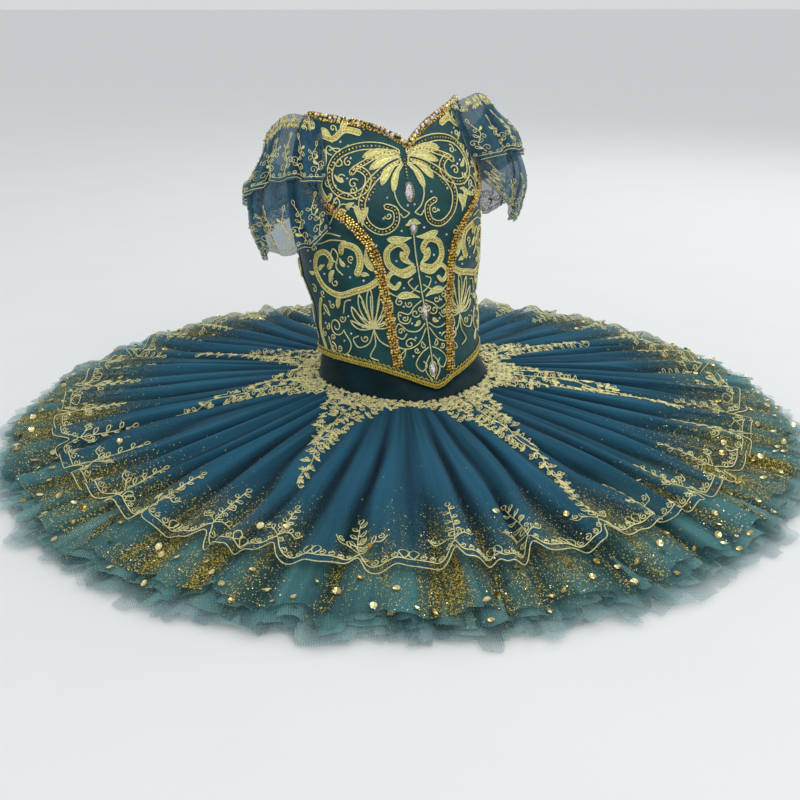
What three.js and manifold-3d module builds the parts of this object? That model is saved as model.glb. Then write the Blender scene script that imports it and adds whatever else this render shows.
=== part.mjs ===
// A classical ballet tutu: a boned bodice with off the shoulder sleeves, sewn by a basque to a flat
// skirt of pleated net. It stands empty on a table. Millimetres, +Z up. The skirt's front is -Y, and
// the origin lies on the table under the middle of the skirt.

import * as THREE from 'three';
import Module from 'manifold-3d';
import { mergeVertices } from 'three/addons/utils/BufferGeometryUtils.js';

const wasm = await Module();
wasm.setup();

// Driving dimensions
const SEAM_GAP = 0.3;
const SATIN = 2.0;
const BASQUE_CLOTH = 1.5;
const KNICKER_CLOTH = 2.0;
const SLEEVE_CLOTH = 1.2;
const LACE_CLOTH = 1.0;
const SKIRT_RIM = 503;
const HIP = { half: 106, depth: 91 };
const SKIRT_TOP = 66;
const TOP_DIP = { turn: 14, deep: 7.5, wide: 34 };
const BASQUE_LAP = 26;
const BASQUE_SPACE = 0.9;
const HIP_STEPS = 44;
const BASQUE_FOOT = 46.5;
const BASQUE_RISE = 1.5;
const TRIM = { wide: 10, thick: 3, lift: 0.7, crown: 0.6 };
const TRIM_SHARES = [
  0.05, 0.13, 0.22, 0.32, 0.42, 0.48, 0.53, 0.565, 0.6, 0.635, 0.665, 0.7, 0.76, 0.84, 0.92,
];
const BRAID = { wide: 9, thick: 2.7, above: 0.5, steps: 60, end: 179.8 };
const NECK_CORD = { radius: 2.5, sides: 7, steps: 28, knots: 16, lift: 0.6, fromTurn: -52, toTurn: 40 };

// The bodice leans and turns on the waist of the skirt.
const BODICE_PLACE = { x: -2.5, y: 0, z: 91, back: 5, side: 5.5, twist: 15.5 };

// Bodice sections: height over the waist, half width, and depth of the front and of the back.
const FIGURE = [
  { z: -45, half: 100, front: 81, back: 74 },
  { z: 0, half: 101, front: 82, back: 76 },
  { z: 60, half: 103, front: 84, back: 78 },
  { z: 130, half: 113, front: 92, back: 83 },
  { z: 190, half: 118, front: 103, back: 88 },
  { z: 245, half: 110, front: 98, back: 86 },
  { z: 310, half: 97, front: 74, back: 80 },
];

// Each bust cup: its turn from the front, its height, its rise and its reach both ways.
const CUP = { turn: 30, z: 212, rise: 6, wide: 19, tall: 36 };

// Lower edge of the bodice by the turn from its front, with the point of the basque line.
const HEM = [
  { turn: -180, z: 12 },
  { turn: -135, z: 18 },
  { turn: -89, z: 18 },
  { turn: -64, z: 15 },
  { turn: -39, z: 6 },
  { turn: -18, z: -9 },
  { turn: 0, z: -26 },
  { turn: 8, z: -32 },
  { turn: 23, z: -22 },
  { turn: 70, z: -6 },
  { turn: 100, z: 0 },
  { turn: 140, z: 7 },
  { turn: 180, z: 12 },
];

// Upper edge of the bodice, the same on both sides: the heart shaped neck, underarm and back.
const NECK = [
  { turn: 0, z: 259 },
  { turn: 6, z: 269 },
  { turn: 17, z: 281 },
  { turn: 33, z: 291 },
  { turn: 48, z: 297 },
  { turn: 66, z: 302 },
  { turn: 78, z: 284 },
  { turn: 96, z: 238 },
  { turn: 130, z: 231 },
  { turn: 180, z: 218 },
];

// The curved seam between centre front and side front, by the share of the height.
const FRONT_SEAM = [
  { share: 0, turn: 18 },
  { share: 0.17, turn: 20.4 },
  { share: 0.32, turn: 21.7 },
  { share: 0.46, turn: 23.5 },
  { share: 0.53, turn: 27 },
  { share: 0.575, turn: 32 },
  { share: 0.635, turn: 42 },
  { share: 0.69, turn: 62 },
  { share: 0.8, turn: 74 },
  { share: 1, turn: 80 },
];
const SIDE_SEAM = 90;
const BACK_SEAM = 130;
const CENTRE_BACK = 180;
const SEAM_STEP = 0.01;
const SEAM_RADIUS = 105;
const PANEL_COLUMNS = { centreFront: 16, sideFront: 6, sideBack: 5, back: 5 };
const PANEL_SHARES = [0, 0.06, 0.17, 0.32, 0.46, 0.53, 0.58, 0.635, 0.69, 0.8, 0.9, 1];

// Net layers, the uppermost first: pleats, steps a pleat, the shares of the way out at which a row
// stands, rim radius and height, height at the hips and how much of the dip it takes. Then the swing
// of the pleats at the rim, where in a pleat its valley lies, how round its ridge is, the cloth, the
// phase of its unevenness and the scallops of its hem.
const LAYERS = {
  skirt_overlay: {
    pleats: 52, steps: 4, shares: [0, 0.1, 0.36, 0.7, 1], rim: 430, low: 35.5, high: SKIRT_TOP,
    dip: 1, swing: 5, valley: 0.5, ridge: 2, cloth: 1.5, phase: 0.1, scallops: 34, scallopDeep: 18,
    look: 'tulle',
  },
  skirt_glitter_net: {
    pleats: 42, steps: 3, shares: [0, 0.35, 0.72, 1], rim: 482, low: 18.8, high: 58,
    dip: 0.86, swing: 4.2, valley: 0.667, ridge: 1, cloth: 1.5, phase: 0.43, scallops: 0, scallopDeep: 0,
    look: 'glitter',
  },
  skirt_net_middle: {
    pleats: 36, steps: 2, shares: [0, 0.5, 1], rim: 494, low: 8.6, high: 45,
    dip: 0.5, swing: 2.6, valley: 0.5, ridge: 1, cloth: 1.2, phase: 0.27, scallops: 0, scallopDeep: 0,
    look: 'net',
  },
  skirt_net_lower: {
    pleats: 32, steps: 2, shares: [0, 0.5, 1], rim: SKIRT_RIM, low: 2.7, high: 30,
    dip: 0, swing: 1.5, valley: 0.5, ridge: 1, cloth: 1.2, phase: 0.71, scallops: 0, scallopDeep: 0,
    look: 'paleNet',
  },
};
const HIP_SWING = 0.8;
const SEWN_SPACE = 0.4;
const LAYER_ARCH = 2.5;
const SCALLOP_ROUND = 0.6;

// Pleats are unevenly wide and unevenly high: how often round the skirt that changes, and how much.
const PLEAT_SWAY = { times: 5, share: 0.0034 };
const PLEAT_JITTER = { times: 13, share: 0.0015, phases: 3 };
const PLEAT_HEIGHT = { times: 7, least: 0.88, more: 0.12 };

// Knickers below the basque: height, half width and depth, down to the flat gusset.
const KNICKERS = [
  { z: 42, half: 107, depth: 93 },
  { z: 29, half: 107, depth: 93 },
  { z: 14, half: 97, depth: 83 },
  { z: 4, half: 80, depth: 66 },
  { z: 0, half: 68, depth: 54 },
];
const GUSSET_TOP = 5;
const LEG = { x: 78, lean: 0.62, half: 37, depth: 50, foot: -6, top: 24, sides: 20 };

// Gold lace laid on the overlay: a band round the hips and eight tapering spokes. A spoke is as many
// pleat steps wide each way, and has its turn and the share of the way out that its tip reaches.
const LACE_LIFT = 1.4;
const LACE_BAND = { from: 0.012, to: 0.085, bay: 0.018, bays: 8, lift: 2.1, space: 0.003 };
const SPOKE = { wide: 6, rows: 3, shoulder: 0.05, taper: 0.5 };
const SPOKES = [
  { turn: -22.5, tip: 0.64 },
  { turn: 22.5, tip: 0.76 },
  { turn: 75, tip: 0.74 },
  { turn: 117, tip: 0.6 },
  { turn: 155, tip: 0.6 },
  { turn: -155, tip: 0.6 },
  { turn: -117, tip: 0.6 },
  { turn: -75, tip: 0.56 },
];

// Sleeve sections: height over the waist and how far the cloth stands off the bodice.
const SLEEVES = {
  left: {
    side: -1, frontTop: 58, frontEnd: 47, back: 136, fill: 1.7,
    bulge: [
      { z: 140, off: 34 },
      { z: 168, off: 38 },
      { z: 216, off: 45 },
      { z: 240, off: 42 },
      { z: 266, off: 34 },
      { z: 292, off: 23 },
      { z: 312, off: 14 },
    ],
    end: [
      { across: 0, z: 176 },
      { across: 0.12, z: 158 },
      { across: 0.3, z: 152 },
      { across: 0.44, z: 166 },
      { across: 0.6, z: 140 },
      { across: 0.72, z: 160 },
      { across: 1, z: 186 },
    ],
  },
  right: {
    side: 1, frontTop: 46, frontEnd: 60, back: 136, fill: 2.2,
    bulge: [
      { z: 140, off: 44 },
      { z: 157, off: 52 },
      { z: 190, off: 60 },
      { z: 234, off: 61 },
      { z: 260, off: 57 },
      { z: 284, off: 42 },
      { z: 312, off: 18 },
    ],
    end: [
      { across: 0, z: 204 },
      { across: 0.08, z: 176 },
      { across: 0.16, z: 150 },
      { across: 0.3, z: 146 },
      { across: 0.46, z: 166 },
      { across: 0.66, z: 152 },
      { across: 1, z: 186 },
    ],
  },
};
const SLEEVE_TOP = [
  { across: 0, z: 295 },
  { across: 0.2, z: 303 },
  { across: 0.45, z: 288 },
  { across: 1, z: 226 },
];
const SLEEVE_STEPS = 24;
const SLEEVE = { gathers: 8, swing: 2.2, hem: 165, rest: 0.4 };
const TIERS = {
  lower: { drop: 9, lift: 0, spread: 0, rows: 3 },
  upper: { drop: 0, lift: 7, spread: 4, rows: 2, length: 68, above: 16 },
};
const OVER_TRIM = { z: 232, off: 5 };

// Colours from the garment
const LOOKS = {
  satin: { color: 0x17464a, roughness: 0.5, metalness: 0 },
  tulle: { color: 0x16405a, roughness: 0.85, metalness: 0 },
  glitter: { color: 0x2c5b5c, roughness: 0.7, metalness: 0.2 },
  net: { color: 0x3f7476, roughness: 0.85, metalness: 0 },
  paleNet: { color: 0x6d9c9c, roughness: 0.85, metalness: 0 },
  knit: { color: 0x1b4a4e, roughness: 0.8, metalness: 0 },
  beads: { color: 0xa97a25, roughness: 0.3, metalness: 0.8 },
  braid: { color: 0xcfb864, roughness: 0.4, metalness: 0.6 },
  crystals: { color: 0xd9c6a8, roughness: 0.15, metalness: 0.3 },
  lace: { color: 0xc9ad58, roughness: 0.5, metalness: 0.5 },
  organza: { color: 0x2c5a78, roughness: 0.6, metalness: 0 },
};

const radians = THREE.MathUtils.degToRad;
const mix = THREE.MathUtils.lerp;
const steps = (from, to, count) => Array.from({ length: count + 1 }, (_, i) => mix(from, to, i / count));

// A smooth curve through a table's rows that never overshoots them, level past both ends.
function smooth(rows, at, key, x) {
  const last = rows.length - 1;
  if (x <= rows[0][at]) return rows[0][key];
  if (x >= rows[last][at]) return rows[last][key];
  const slope = (k) => (rows[k + 1][key] - rows[k][key]) / (rows[k + 1][at] - rows[k][at]);
  const tangent = (k) => {
    if (k === 0) return slope(0);
    if (k === last) return slope(last - 1);
    const before = slope(k - 1);
    const after = slope(k);
    return before * after <= 0 ? 0 : (2 * before * after) / (before + after);
  };
  const i = rows.findIndex((row) => row[at] >= x) - 1;
  const span = rows[i + 1][at] - rows[i][at];
  const t = (x - rows[i][at]) / span;
  const ends = rows[i][key] * (1 + 2 * t) * (1 - t) ** 2 + rows[i + 1][key] * t * t * (3 - 2 * t);
  return ends + span * (tangent(i) * t * (1 - t) ** 2 + tangent(i + 1) * t * t * (t - 1));
}

// Turns every triangle round where the solid would otherwise be inside out.
function outward(points, index) {
  let volume = 0;
  for (let k = 0; k < index.length; k += 3) {
    const [a, b, c] = [points[index[k]], points[index[k + 1]], points[index[k + 2]]];
    volume += a.dot(new THREE.Vector3().crossVectors(b, c));
  }
  return volume > 0 ? index : [...index].reverse();
}

function solid(points, index) {
  const geometry = new THREE.BufferGeometry();
  geometry.setFromPoints(points);
  geometry.setIndex(outward(points, index));
  geometry.computeVertexNormals();
  return geometry;
}

// The closed wall between two grids of points. A ring closes on itself along its rows.
function wall(outer, inner, ring) {
  const rows = outer.length;
  const columns = outer[0].length;
  const spans = ring ? columns : columns - 1;
  const index = [];
  const at = (face, i, j) => (face * rows + i) * columns + (j % columns);
  const quad = (a, b, c, d) => index.push(a, b, c, a, c, d);
  for (let i = 0; i < rows - 1; i += 1) {
    for (let j = 0; j < spans; j += 1) {
      quad(at(0, i, j), at(0, i, j + 1), at(0, i + 1, j + 1), at(0, i + 1, j));
      quad(at(1, i, j), at(1, i + 1, j), at(1, i + 1, j + 1), at(1, i, j + 1));
    }
  }
  for (let j = 0; j < spans; j += 1) {
    quad(at(1, 0, j), at(1, 0, j + 1), at(0, 0, j + 1), at(0, 0, j));
    quad(at(0, rows - 1, j), at(0, rows - 1, j + 1), at(1, rows - 1, j + 1), at(1, rows - 1, j));
  }
  for (let i = 0; i < rows - 1 && !ring; i += 1) {
    quad(at(0, i, 0), at(0, i + 1, 0), at(1, i + 1, 0), at(1, i, 0));
    quad(at(1, i, spans), at(1, i + 1, spans), at(0, i + 1, spans), at(0, i, spans));
  }
  return solid([...outer.flat(), ...inner.flat()], index);
}

// A grid moved along its own normals, for the far face of a wall that curls.
function alongNormals(grid, distance) {
  const clampRow = (i) => grid[THREE.MathUtils.clamp(i, 0, grid.length - 1)];
  const clampPoint = (row, j) => row[THREE.MathUtils.clamp(j, 0, row.length - 1)];
  return grid.map((row, i) => row.map((point, j) => {
    const across = clampPoint(row, j + 1).clone().sub(clampPoint(row, j - 1));
    const along = clampRow(i + 1)[j].clone().sub(clampRow(i - 1)[j]);
    return point.clone().addScaledVector(across.cross(along).normalize(), distance);
  }));
}

// Bodice

// A point of the bodice by its turn from the front, its height and its distance from the cloth.
function bodicePoint(turn, z, off) {
  const angle = radians(turn);
  const bust = Math.exp(-(((Math.abs(turn) - CUP.turn) / CUP.wide) ** 2) - ((z - CUP.z) / CUP.tall) ** 2);
  const out = off + CUP.rise * bust;
  const depth = smooth(FIGURE, 'z', Math.abs(turn) < 90 ? 'front' : 'back', z);
  const x = (smooth(FIGURE, 'z', 'half', z) + out) * Math.sin(angle);
  return new THREE.Vector3(x, -(depth + out) * Math.cos(angle), z);
}

const hemAt = (turn) => smooth(HEM, 'turn', 'z', turn);
const neckAt = (turn) => smooth(NECK, 'turn', 'z', Math.abs(turn));
const heightAt = (turn, share) => mix(hemAt(turn), neckAt(turn), share);
const frontSeam = (share) => smooth(FRONT_SEAM, 'share', 'turn', share);

// Half the seam's gap as a turn, wider where the seam runs aslant.
function seamInset(seam, share) {
  const below = Math.max(share - SEAM_STEP, 0);
  const above = Math.min(share + SEAM_STEP, 1);
  const run = radians(seam(above) - seam(below)) * SEAM_RADIUS;
  const rise = (above - below) * (neckAt(seam(share)) - hemAt(seam(share)));
  return THREE.MathUtils.radToDeg((SEAM_GAP / 2 / SEAM_RADIUS) * Math.hypot(1, run / rise));
}

// A panel between two seams, each a function from the share of the height to the turn.
function panel(from, to, columns) {
  const face = (off) => PANEL_SHARES.map((share) => {
    const start = from(share) + seamInset(from, share);
    const end = to(share) - seamInset(to, share);
    return steps(start, end, columns).map((turn) => bodicePoint(turn, heightAt(turn, share), off));
  });
  return wall(face(0), face(-SATIN), false);
}

// A point beside the front seam, measured square to it over the cloth.
function besideSeam(side, share, beside, off) {
  const on = (s) => {
    const turn = side * frontSeam(s);
    return bodicePoint(turn, heightAt(turn, s), 0);
  };
  const turn = side * frontSeam(share);
  const along = on(Math.min(share + SEAM_STEP, 1)).sub(on(share - SEAM_STEP)).normalize();
  const z = heightAt(turn, share);
  const out = bodicePoint(turn, z, 1).sub(bodicePoint(turn, z, 0)).normalize();
  const square = along.cross(out).normalize().multiplyScalar(beside);
  const away = Math.hypot(square.x, square.y) * Math.sign(square.x * Math.cos(radians(turn))
    + square.y * Math.sin(radians(turn)));
  const radius = bodicePoint(turn, z, 0).setZ(0).length();
  return bodicePoint(turn + THREE.MathUtils.radToDeg(away / radius), z + square.z, off);
}

function seamTrim(side) {
  const half = TRIM.wide / 2;
  const face = (off, crown) => TRIM_SHARES.map((share) => [
    besideSeam(side, share, -half, off),
    besideSeam(side, share, 0, off + crown),
    besideSeam(side, share, half, off),
  ]);
  return wall(face(TRIM.lift + TRIM.thick, TRIM.crown), face(TRIM.lift, 0), false);
}

function hemBraid() {
  const turns = steps(-BRAID.end, BRAID.end, BRAID.steps);
  const face = (off) => [BRAID.above, BRAID.above + BRAID.wide].map((up) => (
    turns.map((turn) => bodicePoint(turn, hemAt(turn) + up, off))
  ));
  return wall(face(SEAM_GAP + BRAID.thick), face(SEAM_GAP), false);
}

// The beaded cord along the heart shaped neck, outside the cloth and just under its edge.
function neckCord() {
  const off = NECK_CORD.lift + NECK_CORD.radius;
  const turns = steps(NECK_CORD.fromTurn, NECK_CORD.toTurn, NECK_CORD.knots);
  const path = new THREE.CatmullRomCurve3(turns.map((turn) => (
    bodicePoint(turn, neckAt(turn) - NECK_CORD.radius, off)
  )));
  const section = new THREE.Shape(steps(0, 2 * Math.PI, NECK_CORD.sides).slice(1).map((angle) => (
    new THREE.Vector2(NECK_CORD.radius * Math.cos(angle), NECK_CORD.radius * Math.sin(angle))
  )));
  return new THREE.ExtrudeGeometry(section, { steps: NECK_CORD.steps, extrudePath: path });
}

// Sleeves

// One tier: gathers hang from the top edge, and both ends lie on the bodice or its seam trim.
function sleeveTier(sleeve, tier) {
  const across = steps(0, 1, SLEEVE_STEPS);
  const fall = SLEEVE_TOP[0].z - SLEEVE.hem;
  const grid = steps(0, 1, tier.rows).map((down) => across.map((s) => {
    const top = smooth(SLEEVE_TOP, 'across', 'z', s) - tier.drop;
    const hem = smooth(sleeve.end, 'across', 'z', s);
    const z = mix(top, tier.length ? Math.max(top - tier.length, hem + tier.above) : hem, down);
    const front = mix(sleeve.frontTop, sleeve.frontEnd, (SLEEVE_TOP[0].z - z) / fall) - tier.spread;
    const fullness = 1 - (1 - Math.sin(Math.PI * s)) ** sleeve.fill;
    const gather = SLEEVE.swing * Math.cos(2 * Math.PI * SLEEVE.gathers * s) * down;
    const stand = smooth(sleeve.bulge, 'z', 'off', z) + tier.lift + gather;
    const rest = SLEEVE_CLOTH + (z < OVER_TRIM.z ? OVER_TRIM.off : SLEEVE.rest);
    return bodicePoint(sleeve.side * mix(front, sleeve.back + tier.spread, s), z, rest + fullness * stand);
  }));
  return wall(grid, alongNormals(grid, sleeve.side * SLEEVE_CLOTH), false);
}

// Skirt

const dipAt = (turn) => {
  const away = THREE.MathUtils.euclideanModulo(turn - TOP_DIP.turn + 180, 360) - 180;
  return TOP_DIP.deep * Math.exp(-((away / TOP_DIP.wide) ** 2));
};
const ellipse = (turn, half, depth, z) => (
  new THREE.Vector3(half * Math.sin(radians(turn)), -depth * Math.cos(radians(turn)), z)
);

// The turn of a step along a layer: pleats are unevenly wide.
function pleatTurn(layer, s) {
  const sway = PLEAT_SWAY.share * Math.sin(2 * Math.PI * (PLEAT_SWAY.times * s + layer.phase));
  const phase = PLEAT_JITTER.phases * layer.phase;
  const jitter = PLEAT_JITTER.share * Math.sin(2 * Math.PI * (PLEAT_JITTER.times * s + phase));
  return 360 * (s + sway + jitter);
}

// The height of a pleat, from 1 on its ridge down to -1 in its valley.
function pleatWave(layer, s) {
  const t = (layer.pleats * s) % 1;
  const down = t < layer.valley ? t / layer.valley : (1 - t) / (1 - layer.valley);
  return 1 - 2 * down ** layer.ridge;
}

// A point on top of a layer, by the step round the skirt and the share of the way out.
function layerPoint(layer, s, share) {
  const turn = pleatTurn(layer, s);
  const notch = 1 - Math.abs(Math.sin(layer.scallops * Math.PI * s)) ** SCALLOP_ROUND;
  const change = Math.sin(2 * Math.PI * (PLEAT_HEIGHT.times * s + layer.phase));
  const uneven = PLEAT_HEIGHT.least + PLEAT_HEIGHT.more * change;
  const rim = layer.rim - (layer.scallops ? layer.scallopDeep * notch : 0);
  const onKnickers = layer.high < BASQUE_FOOT;
  const seat = onKnickers ? KNICKERS[0] : HIP;
  const top = layer.high - layer.dip * dipAt(turn);
  const swing = mix(HIP_SWING, layer.swing * uneven, share) * pleatWave(layer, s);
  const z = mix(top, layer.low, share) + LAYER_ARCH * Math.sin(Math.PI * share) + swing;
  return ellipse(turn, mix(seat.half + SEWN_SPACE, rim, share), mix(seat.depth + SEWN_SPACE, rim, share), z);
}

function netLayer(layer) {
  const count = layer.pleats * layer.steps;
  const around = Array.from({ length: count }, (_, j) => j / count);
  const face = (drop) => layer.shares.map((share) => around.map((s) => {
    const point = layerPoint(layer, s, share);
    return point.setZ(Math.max(point.z - drop, layer.cloth - drop));
  }));
  return wall(face(0), face(layer.cloth), true);
}

const OVERLAY_STEPS = LAYERS.skirt_overlay.pleats * LAYERS.skirt_overlay.steps;

// Laid on the overlay's own steps, so lace follows every fold.
function laceOn(columns, edges, rows, topLift, ring) {
  const overlay = LAYERS.skirt_overlay;
  const face = (lift) => steps(0, 1, rows).map((along) => columns.map((column, j) => {
    const [near, far] = edges(j);
    const point = layerPoint(overlay, column / OVERLAY_STEPS, mix(near, far, along));
    return point.setZ(point.z + lift);
  }));
  return wall(face(topLift), face(topLift - LACE_CLOTH), ring);
}

// The band's outer edge hangs in bays, one to each spoke.
function bandEdge(column) {
  return LACE_BAND.to + LACE_BAND.bay * Math.cos((2 * Math.PI * LACE_BAND.bays * column) / OVERLAY_STEPS);
}

function laceBand() {
  const columns = Array.from({ length: OVERLAY_STEPS / 2 }, (_, j) => 2 * j);
  return laceOn(columns, (j) => [LACE_BAND.from, bandEdge(columns[j])], 1, LACE_BAND.lift, true);
}

function laceSpoke(spoke) {
  const middle = Math.round((spoke.turn / 360) * OVERLAY_STEPS);
  const columns = steps(-SPOKE.wide, SPOKE.wide, 2 * SPOKE.wide).map((k) => (
    (middle + k + OVERLAY_STEPS) % OVERLAY_STEPS
  ));
  const edges = (j) => {
    const near = bandEdge(columns[j]) + LACE_BAND.space;
    const aside = Math.abs(j - SPOKE.wide) / SPOKE.wide;
    return [near, mix(spoke.tip, near + SPOKE.shoulder, aside ** SPOKE.taper)];
  };
  return laceOn(columns, edges, SPOKE.rows, LACE_LIFT, false);
}

// Basque and knickers

const bodiceGroup = new THREE.Group();
bodiceGroup.position.set(BODICE_PLACE.x, BODICE_PLACE.y, BODICE_PLACE.z);
bodiceGroup.rotation.x = radians(-BODICE_PLACE.back);
bodiceGroup.rotation.y = radians(-BODICE_PLACE.side);
bodiceGroup.rotation.z = radians(BODICE_PLACE.twist);
bodiceGroup.updateMatrix();

// The fitted yoke: from inside the bodice, under its hem and out to the hips.
function basque() {
  const turns = steps(0, 360, HIP_STEPS).slice(1);
  const lap = SATIN + BASQUE_SPACE;
  const face = (inside) => {
    const up = (over) => turns.map((turn) => {
      const onBodice = THREE.MathUtils.euclideanModulo(turn - BODICE_PLACE.twist + 180, 360) - 180;
      return bodicePoint(onBodice, hemAt(onBodice) + over, -lap - inside).applyMatrix4(bodiceGroup.matrix);
    });
    const hips = (height) => turns.map((turn) => (
      ellipse(turn, HIP.half - inside, HIP.depth - inside, height(turn))
    ));
    const yoke = hips((turn) => SKIRT_TOP + BASQUE_RISE - dipAt(turn));
    return [hips(() => BASQUE_FOOT), yoke, up(-BASQUE_RISE), up(BASQUE_LAP)];
  };
  return wall(face(0), face(BASQUE_CLOTH), true);
}

// A closed stack of rings, each a list of points, with flat ends.
function stack(rings) {
  const sides = rings[0].length;
  const index = [];
  for (let i = 0; i < rings.length - 1; i += 1) {
    for (let j = 0; j < sides; j += 1) {
      const [a, b] = [i * sides + j, i * sides + ((j + 1) % sides)];
      index.push(a, b, b + sides, a, b + sides, a + sides);
    }
  }
  const last = (rings.length - 1) * sides;
  for (let j = 1; j < sides - 1; j += 1) {
    index.push(0, j + 1, j, last, last + j, last + j + 1);
  }
  return solid(rings.flat(), index);
}

function manifoldOf(geometry) {
  const merged = mergeVertices(geometry.clone().deleteAttribute('normal'), 1e-4);
  return new wasm.Manifold(new wasm.Mesh({
    numProp: 3,
    vertProperties: new Float32Array(merged.attributes.position.array),
    triVerts: new Uint32Array(merged.index.array),
  }));
}

function geometryOf(manifold) {
  const mesh = manifold.getMesh();
  const geometry = new THREE.BufferGeometry();
  geometry.setAttribute('position', new THREE.BufferAttribute(mesh.vertProperties, 3));
  geometry.setIndex(new THREE.BufferAttribute(mesh.triVerts, 1));
  geometry.computeVertexNormals();
  return geometry;
}

// A low bowl under the basque with a flat gusset and two leg holes, each a leaning oval.
function knickers() {
  const turns = steps(0, 360, HIP_STEPS).slice(1);
  const bowl = (inside, above) => {
    const edge = BASQUE_FOOT - SEAM_GAP + above;
    const rim = turns.map((turn) => ellipse(turn, HIP.half - inside, HIP.depth - inside, edge));
    const rest = KNICKERS.map((row) => turns.map((turn) => (
      ellipse(turn, row.half - inside, row.depth - inside, row.z + (row.z < GUSSET_TOP ? inside : 0))
    )));
    return manifoldOf(stack([...rest.reverse(), rim]));
  };
  const leg = (side) => {
    const ring = (z) => steps(0, 360, LEG.sides).slice(1).map((turn) => (
      ellipse(turn, LEG.half, LEG.depth, z).setX(
        LEG.half * Math.sin(radians(turn)) + side * (LEG.x + LEG.lean * z),
      )
    ));
    return manifoldOf(stack([ring(LEG.foot), ring(LEG.top)]));
  };
  const cloth = bowl(0, 0).subtract(bowl(KNICKER_CLOTH, SEAM_GAP));
  return geometryOf(cloth.subtract(leg(1)).subtract(leg(-1)));
}

// Assembly

function addTo(group, name, geometry, look) {
  const mesh = new THREE.Mesh(geometry, new THREE.MeshStandardMaterial(LOOKS[look]));
  mesh.name = name;
  group.add(mesh);
}

const constant = (turn) => () => turn;
const mirrored = (seam) => (share) => -seam(share);

const centreFront = panel(mirrored(frontSeam), frontSeam, PANEL_COLUMNS.centreFront);
addTo(bodiceGroup, 'bodice_centre_front', centreFront, 'satin');
for (const [word, side] of [['right', 1], ['left', -1]]) {
  const between = (near, far, columns) => (side > 0 ? panel(near, far, columns)
    : panel(mirrored(far), mirrored(near), columns));
  const sleeve = SLEEVES[word];
  const sideSeam = constant(SIDE_SEAM);
  const backSeam = constant(BACK_SEAM);
  const sideFront = between(frontSeam, sideSeam, PANEL_COLUMNS.sideFront);
  const sideBack = between(sideSeam, backSeam, PANEL_COLUMNS.sideBack);
  const back = between(backSeam, constant(CENTRE_BACK), PANEL_COLUMNS.back);
  addTo(bodiceGroup, `bodice_side_front_${word}`, sideFront, 'satin');
  addTo(bodiceGroup, `bodice_side_back_${word}`, sideBack, 'satin');
  addTo(bodiceGroup, `bodice_back_${word}`, back, 'satin');
  addTo(bodiceGroup, `seam_trim_${word}`, seamTrim(side), 'beads');
  addTo(bodiceGroup, `sleeve_lower_${word}`, sleeveTier(sleeve, TIERS.lower), 'organza');
  addTo(bodiceGroup, `sleeve_upper_${word}`, sleeveTier(sleeve, TIERS.upper), 'organza');
}
addTo(bodiceGroup, 'hem_braid', hemBraid(), 'braid');
addTo(bodiceGroup, 'neck_cord', neckCord(), 'crystals');

const group = new THREE.Group();
group.add(bodiceGroup);
addTo(group, 'basque', basque(), 'satin');
addTo(group, 'knickers', knickers(), 'knit');
for (const [name, layer] of Object.entries(LAYERS)) {
  addTo(group, name, netLayer(layer), layer.look);
}
addTo(group, 'lace_band', laceBand(), 'lace');
SPOKES.forEach((spoke, k) => addTo(group, `lace_spoke_${k + 1}`, laceSpoke(spoke), 'lace'));

export default group;
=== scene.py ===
"""A classical ballet tutu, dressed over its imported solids: satin, tulle, net, gold embroidery and stones."""

import logging
import math
from dataclasses import dataclass, field
from enum import Enum
from functools import partial
from typing import Callable

import bpy
import numpy as np
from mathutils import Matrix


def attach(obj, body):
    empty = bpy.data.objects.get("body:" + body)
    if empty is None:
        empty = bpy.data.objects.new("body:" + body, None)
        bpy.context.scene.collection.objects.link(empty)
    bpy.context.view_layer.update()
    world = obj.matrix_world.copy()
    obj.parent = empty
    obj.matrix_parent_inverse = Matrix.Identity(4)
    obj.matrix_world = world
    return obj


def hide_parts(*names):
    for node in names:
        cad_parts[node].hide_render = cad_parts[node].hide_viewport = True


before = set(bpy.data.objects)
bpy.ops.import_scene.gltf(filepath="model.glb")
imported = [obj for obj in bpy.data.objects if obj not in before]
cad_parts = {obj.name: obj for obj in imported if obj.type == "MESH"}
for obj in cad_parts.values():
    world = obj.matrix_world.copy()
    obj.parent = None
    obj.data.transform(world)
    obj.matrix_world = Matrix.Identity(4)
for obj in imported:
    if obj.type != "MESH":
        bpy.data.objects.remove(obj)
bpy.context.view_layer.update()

log = logging.getLogger("tutu")

MM = 0.001
BODY = "root"
TAU = 2 * math.pi
HIPS = (106.4, 91.4)
DIP_TURN, DIP_WIDE, DIP_DEEP = 14, 34, 7.5
BODICE_TURN = 15.5
Array = np.ndarray
Colour = tuple[float, float, float]
Rng = np.random.Generator
Lay = Callable[[Array, float], Array]
Piece = bpy.types.Object
Material = bpy.types.Material
Socket = bpy.types.NodeSocket


# Shapes shared with the solids, in millimetres

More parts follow.
